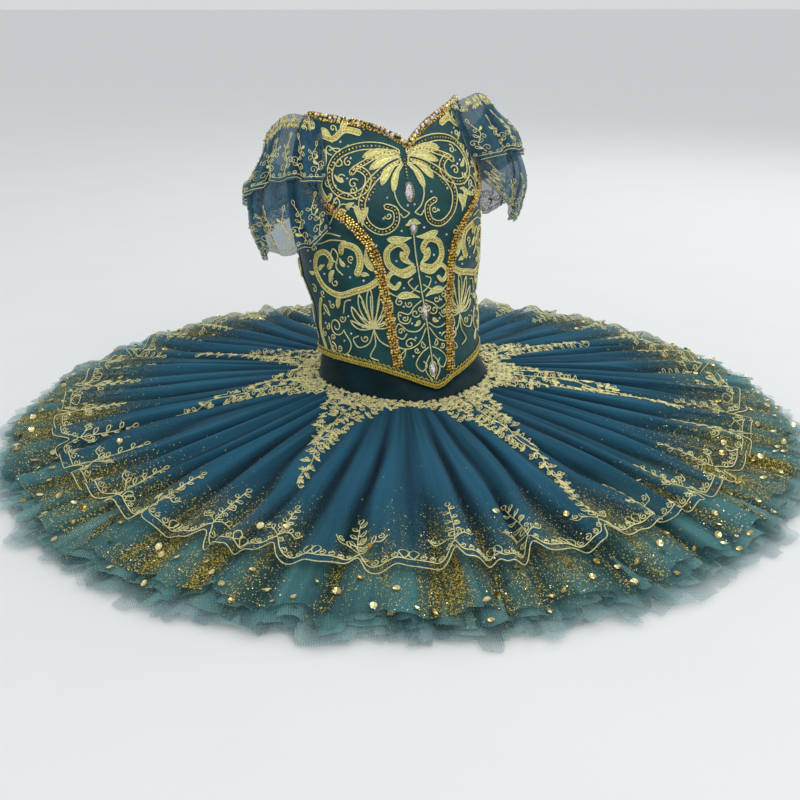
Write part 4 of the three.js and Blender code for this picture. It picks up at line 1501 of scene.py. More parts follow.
@dataclass
class BodiceTrims:
    """Beaded seam trims, the braid round the hem and the jewelled neck."""

    form: BodiceForm
    finishes: Finishes
    shop: Workshop
    trim_half: float = 5.8
    bead: float = 1.75
    braid: tuple[float, float] = (0.6, 9.2)
    braid_tape: float = 5.2
    braid_loop: float = 6.2
    braid_cord: float = 0.62

    def flat_line(self, turn: Array, z: Array) -> Array:
        """A line of the bodice as it is drawn flat."""
        return np.stack([np.radians(turn) * self.form.half(z), z], -1)

    def seam_trims(self, rng: Rng) -> None:
        """Four uneven rows of beads on each curved seam, with small crystals among them.

        Args:
            rng: The seeded source of unevenness.
        """
        needle = Needlework(self.shop, self.finishes, self.form.lay)
        for word, side in (("right", 1), ("left", -1)):
            share = np.linspace(0.04, 0.93, 120)
            turn = side * self.form.seam(share)
            line = self.flat_line(turn, self.form.height(turn, share))
            rows = []
            for away in (-4.5, -1.5, 1.5, 4.5):
                row = evenly(beside(line, away), 2 * self.bead)
                rows.append(row + rng.normal(0, 0.45, row.shape))
            base = needle.ribbon_object(f"seam_tape_{word}", [(
                beside(line, self.trim_half), line, beside(line, -self.trim_half))], self.finishes.tape)
            spots = np.concatenate(rows)
            size = uneven_sizes(rng, 0.8, 1.15, len(spots))
            beads = needle.studs(f"seam_beads_{word}", Stud.BEAD, spots, self.bead, self.finishes.bead,
                                 2.0, size)
            bright = needle.studs(f"seam_crystals_{word}", Stud.STONE, spots[rng.random(len(spots)) < 0.1],
                                  1.5, self.finishes.rhinestone, 2.9)
            keep(bright, "crystals")
            keep(base, "beads")
            keep(beads, "beads", f"seam_trim_{word}")

    def hem(self) -> None:
        """A gold braid of crossing loops with dark beads."""
        needle = Needlework(self.shop, self.finishes, self.form.lay)
        turn = np.linspace(-179.5, 179.5, 900)
        low, high = self.braid
        tall, loop = self.braid_tape, self.braid_loop
        edge = self.form.hem(turn)
        run = run_along(self.flat_line(turn, edge + (low + high) / 2))
        ribbon = tuple(self.flat_line(turn, edge + low + up) for up in (tall, tall / 2, 0))
        tape = needle.ribbon_object("braid_tape", [ribbon], self.finishes.tape)
        lines = [self.form.lay(self.flat_line(turn, edge + at), 1.6) for at in (low + 0.3, low + tall)]
        for phase in (0, math.pi):
            wave = 2.1 * np.sin(TAU * run / loop + phase)
            lines.append(self.form.lay(self.flat_line(turn, edge + low + 2.7 + wave), 2.2))
        arch = 4.0 * np.abs(np.sin(math.pi * run / loop)) ** 0.7
        lines.append(self.form.lay(self.flat_line(turn, edge + low + 5.6 + arch), 1.6))
        cords = self.shop.cord_piece("hem_braid_gold", lines, self.braid_cord * MM, self.finishes.braid, 4)
        upper = self.flat_line(turn, edge + low + 7.2)
        at = np.arange(loop / 2, run[-1], loop)
        spots = np.stack([np.interp(at, run, upper[:, k]) for k in (0, 1)], -1)
        dark = needle.studs("braid_beads", Stud.BEAD, spots, 1.6, self.finishes.emerald, 1.8)
        keep(tape, "braid")
        keep(cords, "braid", "hem_braid")
        keep(dark, "beads")

    def neck(self, rng: Rng) -> None:
        """Stones and beads of many sizes along the heart shaped neck.

        Args:
            rng: The seeded source of unevenness.
        """
        needle = Needlework(self.shop, self.finishes, self.form.lay)
        turn = np.linspace(-80, 80, 400)
        line = self.flat_line(turn, self.form.neck(np.abs(turn)) - 1.8)
        stones = evenly(line, 5.4)
        stones = stones + rng.normal(0, 0.7, stones.shape)
        lot = rng.random(len(stones))
        size = uneven_sizes(rng, 0.6, 1.1, len(stones))
        for name, low, high, stud, finish, slot in (
                ("neck_crystals", 0.0, 0.4, Stud.STONE, self.finishes.crystal, "crystals"),
                ("neck_rose_stones", 0.4, 0.6, Stud.STONE, self.finishes.rose, "crystals"),
                ("neck_gold", 0.6, 1.0, Stud.ROUND, self.finishes.sequin, "beads")):
            mine = (lot >= low) & (lot < high)
            made = needle.studs(name, stud, stones[mine], 2.6, finish, 1.3, size[mine])
            keep(made, slot, *(("neck_cord",) if name == "neck_crystals" else ()))
        rows = np.concatenate([evenly(beside(line, away), 3.0) for away in (-4.0, -2.2, 2.2)])
        rows = rows + rng.normal(0, 0.5, rows.shape)
        keep(needle.studs("neck_beads", Stud.BEAD, rows, 1.35, self.finishes.bead, 1.0), "beads")

    def build(self, rng: Rng) -> None:
        """Makes all three trims.

        Args:
            rng: The seeded source of unevenness.
        """
        self.seam_trims(rng)
        self.hem()
        self.neck(rng)


# Sleeves

@dataclass(frozen=True)
class Tier:
    """One of a sleeve's two layers, in millimetres."""

    name: str
    drop: float
    lift: float
    spread: float
    length: float
    above: float


@dataclass
class Sleeve:
    """An off the shoulder sleeve of two tiers of organza with gold edges."""

    word: str
    side: int
    front_top: float
    front_end: float
    fill: float
    bulge: Curve
    end: Curve
    form: BodiceForm
    finishes: Finishes
    shop: Workshop
    top: Curve = Curve(((0, 295), (0.2, 303), (0.45, 288), (1, 226)))
    back: float = 136
    cloth: float = 1.2
    top_z: float = 295
    front_over: float = 130
    puffed_below: float = 232
    rows: int = 34
    columns: int = 150
    tiers: tuple[Tier, ...] = (Tier("lower", 9, 0, 0, 0, 0), Tier("upper", 0, 7, 4, 68, 16))

    def gather(self, s: Array, down: Array) -> Array:
        """The folds' height in millimetres: loose at the hem, tight on the elastic at the top.

        Args:
            s: How far from the front to the back, from 0 to 1.
            down: How far from the top to the hem, from 0 to 1.

        Returns:
            The height.
        """
        loose = 3.0 * np.cos(TAU * (8 * s + 0.3 * np.sin(TAU * 2.3 * s)) + 1.2 * down)
        loose = loose + 2.0 * np.cos(TAU * (13 * s + 0.5 * np.sin(TAU * 1.7 * s)) + 2.5 * down)
        return loose * np.clip(down + 0.15, 0, 1) + 1.3 * np.cos(TAU * 33 * s) * (1 - down) ** 2

    def point(self, tier: Tier, s: Array, down: Array, off: float = 0.0) -> Array:
        """Points of a tier, in metres.

        Args:
            tier: Which tier.
            s: How far from the front to the back, from 0 to 1.
            down: How far from the top to the hem, from 0 to 1.
            off: Distance outside the cloth.

        Returns:
            The points, with one more axis than s.
        """
        s, down = np.broadcast_arrays(np.asarray(s, float), np.asarray(down, float))
        top = self.top(s) - tier.drop
        hem = self.end(s)
        low = np.maximum(top - tier.length, hem + tier.above) if tier.length else hem
        scallop = 3.2 * np.abs(np.sin(7 * math.pi * s)) * np.sin(math.pi * s) ** 0.3
        z = mix(top, low - scallop, down)
        front = mix(self.front_top, self.front_end, (self.top_z - z) / self.front_over) - tier.spread
        full = 1 - (1 - np.sin(math.pi * np.clip(s, 0, 1))) ** self.fill
        stand = self.bulge(z) + tier.lift + self.gather(s, down) + 1.5 * np.sin(9 * down + 5 * s)
        rest = self.cloth + np.where(z < self.puffed_below, 5.0, 0.4)
        turn = self.side * mix(front, self.back + tier.spread, s)
        return self.form.point(turn, z, rest + full * stand + off)

    def lay(self, tier: Tier, wide: float, tall: float, flat: Array, off: float) -> Array:
        """Flat points on a tier that is as wide and tall as is said, in millimetres."""
        return self.point(tier, flat[:, 0] / wide, 1 - flat[:, 1] / tall, off)

    def lace(self, wide: float, tall: float, rng: Rng) -> Pattern:
        """The tier's gold edge of two cords and small loops, with sprays above it.

        Args:
            wide: The tier's width, in millimetres.
            tall: Its height, in millimetres.
            rng: The seeded source of unevenness.

        Returns:
            The pattern.
        """
        p = Pattern()
        x = np.linspace(0.015, 0.985, 160) * wide
        for high in (0.8, 5.5):
            p.cords.append(np.stack([x, high + 2.6 * np.abs(np.sin(9 * math.pi * x / wide))], -1))
        for k, at in enumerate(np.arange(6, wide - 6, 8.0)):
            p.spiral((at, 9.5), 2.9, 0.8, 270, 400 if k % 2 else -400)
        for k, at in enumerate(np.arange(0.05, 0.97, 0.075) * wide):
            self.vine(p, at, 12, min(0.62 * tall, 48) * rng.uniform(0.7, 1.05), 1 if k % 2 else -1, rng)
        return p

    def vine(self, p: Pattern, x: float, y: float, high: float, way: int, rng: Rng) -> None:
        """A thin stem that climbs from the edge in a slow curve, with curls and leaves.

        Args:
            p: The pattern that it joins.
            x: Its foot across.
            y: Its foot's height.
            high: How far it climbs.
            way: The side that it leans to first, 1 or -1.
            rng: The seeded source of unevenness.
        """
        stem = flow([(x, y), (x + way * 5, y + 0.3 * high), (x - way * 3, y + 0.65 * high),
                     (x + way * 4, y + high)])
        p.cords.append(stem)
        for k, share in enumerate((0.15, 0.35, 0.55, 0.75)):
            root = stem[int(share * (len(stem) - 1))]
            side = way if k % 2 else -way
            size = 5.2 * (1.2 - 0.6 * share)
            p.spiral((root[0] + side * size, root[1]), size, 0.8, 180 if side > 0 else 0, -side * 430)
            tip = (root[0] - side * 6.5, root[1] + 5)
            p.petal(tuple(root), tip, 1.5, side, bool(rng.random() < 0.2), 7)
        p.petal(tuple(stem[-1]), (stem[-1][0] + way * 2, stem[-1][1] + 8), 1.7, 0, False, 7)
        p.beads.append(stem[-1:])

    def shoulder(self, wide: float, tall: float, rng: Rng) -> Pattern:
        """The dense roll of lace along the top of the upper tier.

        Args:
            wide: The tier's width, in millimetres.
            tall: Its height, in millimetres.
            rng: The seeded source of unevenness.

        Returns:
            The pattern.
        """
        p = Pattern()
        for row in range(2):
            for at in np.arange(0.03, 0.66, 0.034):
                x = (at + 0.017 * row) * wide + rng.uniform(-2, 2)
                p.spray(x, tall - 9 - 7 * row, 8.5, rng.choice([-1, 1]), rng)
                p.beads.append(np.array([[x + 3, tall - 4 - 7 * row]]))
        return p

    def build(self, rng: Rng) -> None:
        """Makes both tiers and their gold.

        Args:
            rng: The seeded source of unevenness.
        """
        s = np.linspace(0, 1, self.columns)[None, :]
        down = np.linspace(0, 1, self.rows)[:, None]
        # Painted shade and light: the organza is darker where the gathers sink and lighter where they stand
        # out.
        fold = 0.5 + 0.1 * self.gather(s, down)
        for tier in self.tiers:
            name = f"sleeve_{tier.name}_{self.word}"
            points = self.point(tier, s, down)
            cloth = sheet_object(f"{name}_cloth", points, self.finishes.organza, flip=self.side > 0,
                                 marks={"fold": fold})
            keep(cloth, "organza", name)
            wide, tall = spans(points)
            min(area_of(points), wide * tall)
            wide, tall = wide * 1000, tall * 1000
            needle = Needlework(self.shop, self.finishes, partial(self.lay, tier, wide, tall), 0.5, 1.0, 3)
            pattern = self.lace(wide, tall, rng)
            if tier.name == "upper":
                pattern = pattern.joined(self.shoulder(wide, tall, rng))
            for piece in needle.sew(f"sleeve_gold_{tier.name}_{self.word}", pattern):
                keep(piece, "crystals" if piece.name.endswith("stones") else "lace")


# Skirt

@dataclass
class Basque:
    """The satin yoke from inside the bodice out to the hips, and the knickers under it."""

    form: BodiceForm
    finishes: Finishes
    shop: Workshop
    hips: tuple[float, float] = (106, 91)
    foot: float = 46.5
    top: float = 67.5
    lap: float = 2.9
    rises: tuple[float, float] = (-1.5, 26)
    cut: tuple[float, float] = (0.62, 0.16)
    bowl: tuple[tuple[float, float, float], ...] = (
        (46.2, 106, 91), (42, 107, 93), (29, 107, 93), (14, 97, 83), (4, 80, 66), (0.1, 68, 54))
    leg: tuple[float, float, float, float] = (78, 0.62, 37, 50)
    leg_top: float = 24

    def oval(self, turn: Array, half: float, depth: float, z: Array | float) -> Array:
        """Points of an ellipse in metres."""
        angle = np.radians(turn)
        return np.stack([half * np.sin(angle), -depth * np.cos(angle), z + 0 * turn], -1) * MM

    def yoke(self) -> None:
        """The basque, eased between its four rings."""
        turn = np.arange(0, 360, 1.5)
        on = away_from(turn, BODICE_TURN)
        rings = [self.oval(turn, *self.hips, self.foot),
                 self.oval(turn, *self.hips, self.top - hip_dip(turn))]
        rings += [self.form.point(on, self.form.hem(on) + rise, -self.lap) for rise in self.rises]
        rows = []
        for k, count in ((0, 5), (1, 12), (2, 6)):
            for t in np.linspace(0, 1, count, endpoint=k == 2):
                rows.append(mix(rings[k], rings[k + 1], t))
        points = np.array(rows)
        t = np.linspace(0, 1, len(rows))[:, None]
        drag = 0.7 * np.sin(math.pi * t) * np.sin(TAU * (9 * turn / 360 + 0.8 * t)) * MM
        points = points + drag[..., None] * grid_normals(points, True)
        # Painted shade: this finish is a darkened copy of the teal satin, for the shade under the bodice's
        # hem.
        cloth = sheet_object("basque_cloth", points, self.finishes.yoke, ring=True, wall=1.4 * MM)
        keep(cloth, "satin", "basque")
        around, tall = spans(points)
        min(area_of(points), around * tall)

    def knickers(self) -> None:
        """The bowl under the yoke, with a hole for each leg."""
        turn = np.arange(0, 360, 2.0)
        z, half, depth = (np.array(column) for column in zip(*self.bowl))
        at = np.concatenate([np.linspace(k, k + 1, 7)[:-1] for k in range(len(z) - 1)] + [[len(z) - 1]])
        span = np.arange(len(z))
        side = np.array([self.oval(turn, np.interp(q, span, half), np.interp(q, span, depth),
                                   np.interp(q, span, z)) for q in at])
        floor = np.array([self.oval(turn, half[-1] * q, depth[-1] * q, z[-1])
                          for q in (0.85, 0.7, 0.5, 0.3, 0.1)])
        points = np.concatenate([side, floor])
        start, lean, wide, deep = self.leg
        inside = np.zeros(points.shape[:2], bool)
        for way in (1, -1):
            middle = way * (start + lean * points[..., 2] / MM)
            dx, dy = points[..., 0] / MM - middle, points[..., 1] / MM
            reach = np.sqrt((dx / wide) ** 2 + (dy / deep) ** 2)
            hole = (reach < 1) & (points[..., 2] < self.leg_top * MM)
            scale = np.where(hole, 1 / np.maximum(reach, 0.05), 1)
            points[..., 0] = np.where(hole, (middle + dx * scale) * MM, points[..., 0])
            points[..., 1] = np.where(hole, dy * scale * MM, points[..., 1])
            inside |= hole
        self.holed("knickers", points, inside)

    def holed(self, name: str, points: Array, inside: Array) -> None:
        """A ring shaped grid as a thin sheet without the faces that lie wholly in a hole.

        Args:
            name: The solid that it stands for.
            points: Rows and columns of points, in metres.
            inside: Which of the points lie in a hole.
        """
        rows, columns = inside.shape
        i, j = np.meshgrid(np.arange(rows - 1), np.arange(columns), indexing="ij")
        k = (j + 1) % columns
        quads = np.stack([i * columns + j, (i + 1) * columns + j, (i + 1) * columns + k,
                          i * columns + k], -1).reshape(-1, 4)
        quads = quads[~inside.ravel()[quads].all(1)]
        used, faces = np.unique(quads, return_inverse=True)
        flat = points.reshape(-1, 3)
        uv = np.stack([np.arctan2(flat[:, 0], -flat[:, 1]) * 0.1, flat[:, 2]], -1)
        cloth = mesh_object(f"{name}_cloth", flat[used], faces.reshape(-1, 4), self.finishes.knit,
                            uv[quads].reshape(-1, 2))
        keep(cloth, "knit", name)
        area = sum(face.area for face in cloth.data.polygons)
        min(area, math.prod(self.cut))


@dataclass
class SkirtCloth:
    """The overlay of soft tulle and the stiff nets under it."""

    finishes: Finishes
    overlay: SkirtLayer
    nets: tuple[tuple[str, str, SkirtLayer], ...]
    clear: dict[str, float] = field(default_factory=lambda: {
        "tulle": 0.56, "glitter_net": 0.4, "net": 0.42, "pale_net": 0.44})
    heavy: dict[str, float] = field(default_factory=lambda: {
        "tulle": 0.5, "glitter_net": 1.25, "net": 0.4, "pale_net": 0.05})
    edge: float = 0.02
    least_area: float = 0.31
    net_columns: int = 1200
    net_rows: dict[str, int] = field(default_factory=lambda: {"glitter_net": 16, "net": 13, "pale_net": 13})
    net_clear: float = 60
    overlay_grid: tuple[int, int] = (1456, 27)
    overlay_clear: float = 290
    clear_over: float = 90
    dust_radius: float = 418
    dust_wide: float = 66

    def dust(self, points: Array, wave: Array, radius: Array, heavy: float) -> Array:
        """How much of the net is gold: most in patches near the hem, and in the folds.

        Args:
            points: The layer's points, in metres.
            wave: The pleats' height there, from -1 to 1.
            radius: Their distance from the middle, in millimetres.
            heavy: How much dust the layer carries in all.

        Returns:
            The share covered.
        """
        x, y = points[..., 0], points[..., 1]
        turn = np.arctan2(x, -y)
        patch = (np.sin(7 * turn + 0.4) + np.sin(13 * turn + 2.1)
                 + 0.8 * np.sin(29 * turn + 9 * radius / 500)
                 + 0.7 * np.sin(47 * turn + 1.0) + 0.6 * np.sin(38 * x + 51 * y)) / 4.1
        reach = np.exp(-((radius - self.dust_radius) / self.dust_wide) ** 2)
        sides = 1 + 0.55 * np.abs(np.sin(turn)) ** 1.5
        return np.clip(heavy * reach * sides * (0.36 + 0.8 * patch - 0.2 * wave), 0, 0.9)

    def sheet(self, name: str, layer: SkirtLayer, material: Material, slot: str,
              columns: int, rows: int, rests: str, thin_from: float) -> None:
        """One layer as a single sheet.

        Args:
            name: The piece's name.
            layer: Its form.
            material: Its finish.
            slot: Its material slot.
            columns: Points round it.
            rows: Points from hip to hem.
            rests: The piece that it lies on; not used.
            thin_from: The radius from which it is seen through.
        """
        s = (np.arange(columns) / columns)[None, :]
        share = (np.linspace(0, 1, rows) ** 0.9)[:, None]
        points = layer.point(s, share)
        wave = layer.wave(layer.bent(s, share)) * np.clip(layer.strength(s), 0, 1)
        # Painted shade and light: darker in the valleys and lighter on the ridges, lighter on pleat ends that
        # lie over their neighbours and darker on those under them, with a painted shadow line along each pleat
        # end's edge; a little lighter towards the hem.
        fold = 0.5 + 0.46 * wave * np.clip(share * 2.5, 0.25, 1) + 0.1 * (share - 0.5)
        edge = np.clip((layer.ending(s)[1] - 0.75) / 0.25, 0, 1)
        parting_shadow = 0.35 * edge * np.clip(share - 0.3, 0, 1) * min(layer.ends, 1)
        fold = fold + 0.6 * layer.lapped(s, share) - parting_shadow
        radius = np.hypot(points[..., 0], points[..., 1]) / MM
        # The + 0.1 towards +X is painted light: the right side is made more see-through so the pale table
        # shows, as though lit from behind.
        seen = self.clear[slot] + 0.1 * np.clip(points[..., 0] / radius / MM, 0, 1) - 0.24 * wave
        marks = {"fold": fold, "dust": self.dust(points, wave, radius, self.heavy[slot]),
                 "thin": np.clip((radius - thin_from) / self.clear_over, 0, 1) * seen}
        cloth = sheet_object(name, points, material, ring=True, flip=True, marks=marks,
                             uv=points[..., :2])
        keep(cloth, slot, layer.node)
        area = area_of(np.concatenate([points, points[:, :1]], 1))

    def build(self) -> None:
        """Makes every layer, the lowest first."""
        below = "knickers_cloth"
        for name, slot, layer in self.nets:
            self.sheet(name, layer, getattr(self.finishes, slot), slot, self.net_columns,
                       self.net_rows[slot], below, layer.rim - self.net_clear)
            below = name
        self.sheet("skirt_overlay_cloth", self.overlay, self.finishes.tulle, "tulle", *self.overlay_grid,
                   below, self.overlay_clear)


@dataclass
class SkirtLace:
    """Gold lace on the overlay: a ring round the hips, eight spokes and the embroidered hem."""

    overlay: SkirtLayer
    finishes: Finishes
    shop: Workshop
    spokes: tuple[tuple[float, float, tuple[float, float]], ...] = (
        (-22.5, 0.64, (-9, 0)), (22.5, 0.76, (9, 0)), (75, 0.74, (6, -5)), (117, 0.6, (5, -4)),
        (155, 0.6, (0, 0)), (-155, 0.6, (0, 0)), (-117, 0.6, (-5, 2)), (-75, 0.56, (-6, 5)))
    ring_wide: float = 30
    thread: float = 0.68
    inner: float = 11
    ring_parts: int = 90
    lean_from: float = 120
    lean_over: float = 230

    def lay_at(self, middle: float, lean: tuple[float, float] = (0, 0)) -> Lay:
        """How flat points lie on the overlay: x round it and y its radius.

        Args:
            middle: The share of a turn at which x is 0.
            lean: Degrees by which the lace is turned at the hips and at the hem.

        Returns:
            A function of flat points and a height above the net.
        """

        def lay(flat: Array, off: float) -> Array:
            """Flat points on the overlay.

            Args:
                flat: The points, where y is the radius.
                off: Height above the net.

            Returns:
                The points, in metres.
            """
            out = np.clip((flat[:, 1] - self.lean_from) / self.lean_over, 0, 1)
            away = mix(lean[0], lean[1], out) / 360
            s = middle + away + flat[:, 0] / (TAU * np.maximum(flat[:, 1], 60))
            return self.overlay.point(s, self.overlay.share_at(s, flat[:, 1]), off)

        return lay

    def patch(self, low: float, high: float, half: Callable[[float], float],
              rng: Rng) -> Pattern:
        """Open scrolls and leaves between two radii.

        Args:
            low: The inner radius.
            high: The outer radius.
            half: Half the lace's width by radius.
            rng: The seeded source of unevenness.

        Returns:
            The pattern.
        """
        p = Pattern()
        row = 0
        y = low + 3
        while y < high - 4:
            wide = 2 * half(y)
            count = max(1, round(wide / 12.5))
            size = min(11.0, 0.6 * wide + 2)
            for k in range(count):
                x = (k - (count - 1) / 2) * wide / count + rng.uniform(-1.8, 1.8)
                way = (1 if x > 0 else -1) if count > 1 else (1 if row % 2 else -1)
                p.spray(x, y + rng.uniform(-1.5, 1.5), size * rng.uniform(0.8, 1.15), way, rng)
            y += 0.86 * size
            row += 1
        return p

    def ring(self, rng: Rng) -> None:
        """The ring that widens towards each spoke.

        Args:
            rng: The seeded source of unevenness.
        """
        total = Pattern()
        turns = np.array([turn + lean[0] for turn, _, lean in self.spokes])
        for k in range(self.ring_parts):
            s = k / self.ring_parts
            turn = float(self.overlay.turn(np.array(s)))
            near = np.abs(away_from(turns, turn)).min()
            bay = self.ring_wide * (0.55 + 0.5 * math.exp(-(near / 15) ** 2))
            bay = bay + 2.5 * math.sin(TAU * 21 * s)
            start = hip_radius(math.radians(turn)) - 1
            piece = self.patch(start, start + bay + 4, lambda r: 4.6 * r / 118, rng)
            total = total.joined(piece.swung(s))
        self.sewn("lace_ring", total, self.lay_at(0.0), "lace_band")

    def sewn(self, name: str, pattern: Pattern, lay: Lay, node: str) -> None:
        """Sews the lace of the ring or of a spoke.

        Args:
            name: The start of the pieces' names.
            pattern: The flat lace.
            lay: How it lies on the overlay.
            node: The solid that its cords stand for.
        """
        needle = Needlework(self.shop, self.finishes, lay, self.thread, 1.4, 3, True)
        for piece in needle.sew(name, pattern):
            keep(piece, "lace", *((node,) if piece.name.endswith("cords") else ()))

    def spoke(self, number: int, turn: float, tip: float, lean: tuple[float, float],
              rng: Rng) -> None:
        """One spoke: a fan at the hips that thins to a chain and ends in a curl.

        Args:
            number: Its number.
            turn: Where it stands, in degrees from the front.
            tip: The share of the way out at which it ends.
            lean: Degrees by which it is turned at the hips and at the hem.
            rng: The seeded source of unevenness.
        """
        angle = math.radians(turn)
        start = hip_radius(angle)
        low = start + 14
        high = mix(start, self.overlay.rim, tip)
        full = 1 + 0.4 * abs(math.sin(angle))

        def half(r: float) -> float:
            """Half the lace's width at a radius."""
            t = min(max((r - low) / (high - low), 0), 1)
            return 4 + full * (24 * (1 - t) ** 2.8 + 8 * (1 - t)) + 2.5 * math.sin(9 * t) * (1 - t)

        total = self.patch(low, high, half, rng)
        total.cords.append(flow([(3.2 * math.sin(0.09 * (r - low)), r)
                                 for r in np.linspace(low, high, max(4, int((high - low) / 12)))], 4))
        total.spiral((3.6, high), 4.2, 0.8, 180, -440)
        name = f"lace_spoke_{number}"
        self.sewn(name, total, self.lay_at((turn / 360) % 1, lean), name)

    def spire(self, radius: float, rng: Rng) -> Pattern:
        """One spire of leaves from the hem towards the waist.

        Args:
            radius: The radius of its foot.
            rng: The seeded source of unevenness.

        Returns:
            The pattern.
        """
        p = Pattern()
        high = 54 * rng.uniform(0.8, 1.15)
        sway = rng.uniform(-4, 4)
        stem = flow([(0, radius), (sway * 0.9, radius - high * 0.4), (sway, radius - high)])
        p.cords.append(stem)
        for k, step in enumerate((0.34, 0.46, 0.58, 0.7, 0.82, 0.93)):
            root = stem[int(step * (len(stem) - 1))]
            way = 1 if k % 2 else -1
            size = 7.5 * (1.3 - 0.5 * step)
            p.petal(tuple(root), (root[0] + way * 0.75 * size, root[1] - 0.8 * size), 1.7, way, False, 7)
            if k in (0, 2):
                p.spiral((root[0] - way * 4.2, root[1] + 1), 3.4, 0.7, 90, -way * 430)
        p.petal(tuple(stem[-1]), (stem[-1][0], stem[-1][1] - 8), 2.2, 0, False, 8)
        for way in (1, -1):
            p.cord([(0, radius - 3), (way * 9, radius - 11), (way * 16, radius - 10),
                    (way * 20, radius - 17)])
            p.spiral((way * 15, radius - 16), 3.4, 0.8, 270, way * 420)
            p.petal((way * 7, radius - 9), (way * 10, radius - 18), 1.6, way, False, 7)
        p.spiral((0, radius - 12), 5.0, 1.5, 0, 440)
        p.beads.append(np.array([[sway, radius - high]]))
        return p

    def hem(self, rng: Rng) -> None:
        """Two cords along the scallops, loops on the inner one and a spire at each notch.

        Args:
            rng: The seeded source of unevenness.
        """
        layer = self.overlay
        s = np.arange(0, 1.0005, 1 / 1700)
        total = Pattern()
        edge = layer.hem(s)
        for inset in (1.5, self.inner):
            total.cords.append(np.stack([s * TAU * (edge - inset), edge - inset], -1))
        for k in range(layer.scallops):
            for t in np.arange(0.07, 0.96, 0.095):
                at = (k + t) / layer.scallops
                radius = float(layer.hem(np.array(at))) - self.inner
                way = rng.choice([-1, 1])
                loop = Pattern()
                if 0.42 < t < 0.56:
                    loop.petal((0, radius), (rng.uniform(-2, 2), radius - 13), 4.2, 0, False)
                else:
                    loop.spiral((0, radius - 4.2), 3.7, 0.9, 270, way * 440)
                total = total.joined(loop.swung(at))
            base = float(layer.hem(np.array(k / layer.scallops))) - self.inner
            total = total.joined(self.spire(base, rng).swung(k / layer.scallops))
        needle = Needlework(self.shop, self.finishes, self.lay_at(0.0), 0.66, 1.0, 3)
        for piece in needle.sew("hem_embroidery", total):
            keep(piece, "lace")

    def build(self, rng: Rng) -> None:
        """Makes the ring, the spokes and the hem.

        Args:
            rng: The seeded source of unevenness.
        """
        self.ring(rng)
        for number, (turn, tip, lean) in enumerate(self.spokes, 1):
            self.spoke(number, turn, tip, lean, rng)
        self.hem(rng)


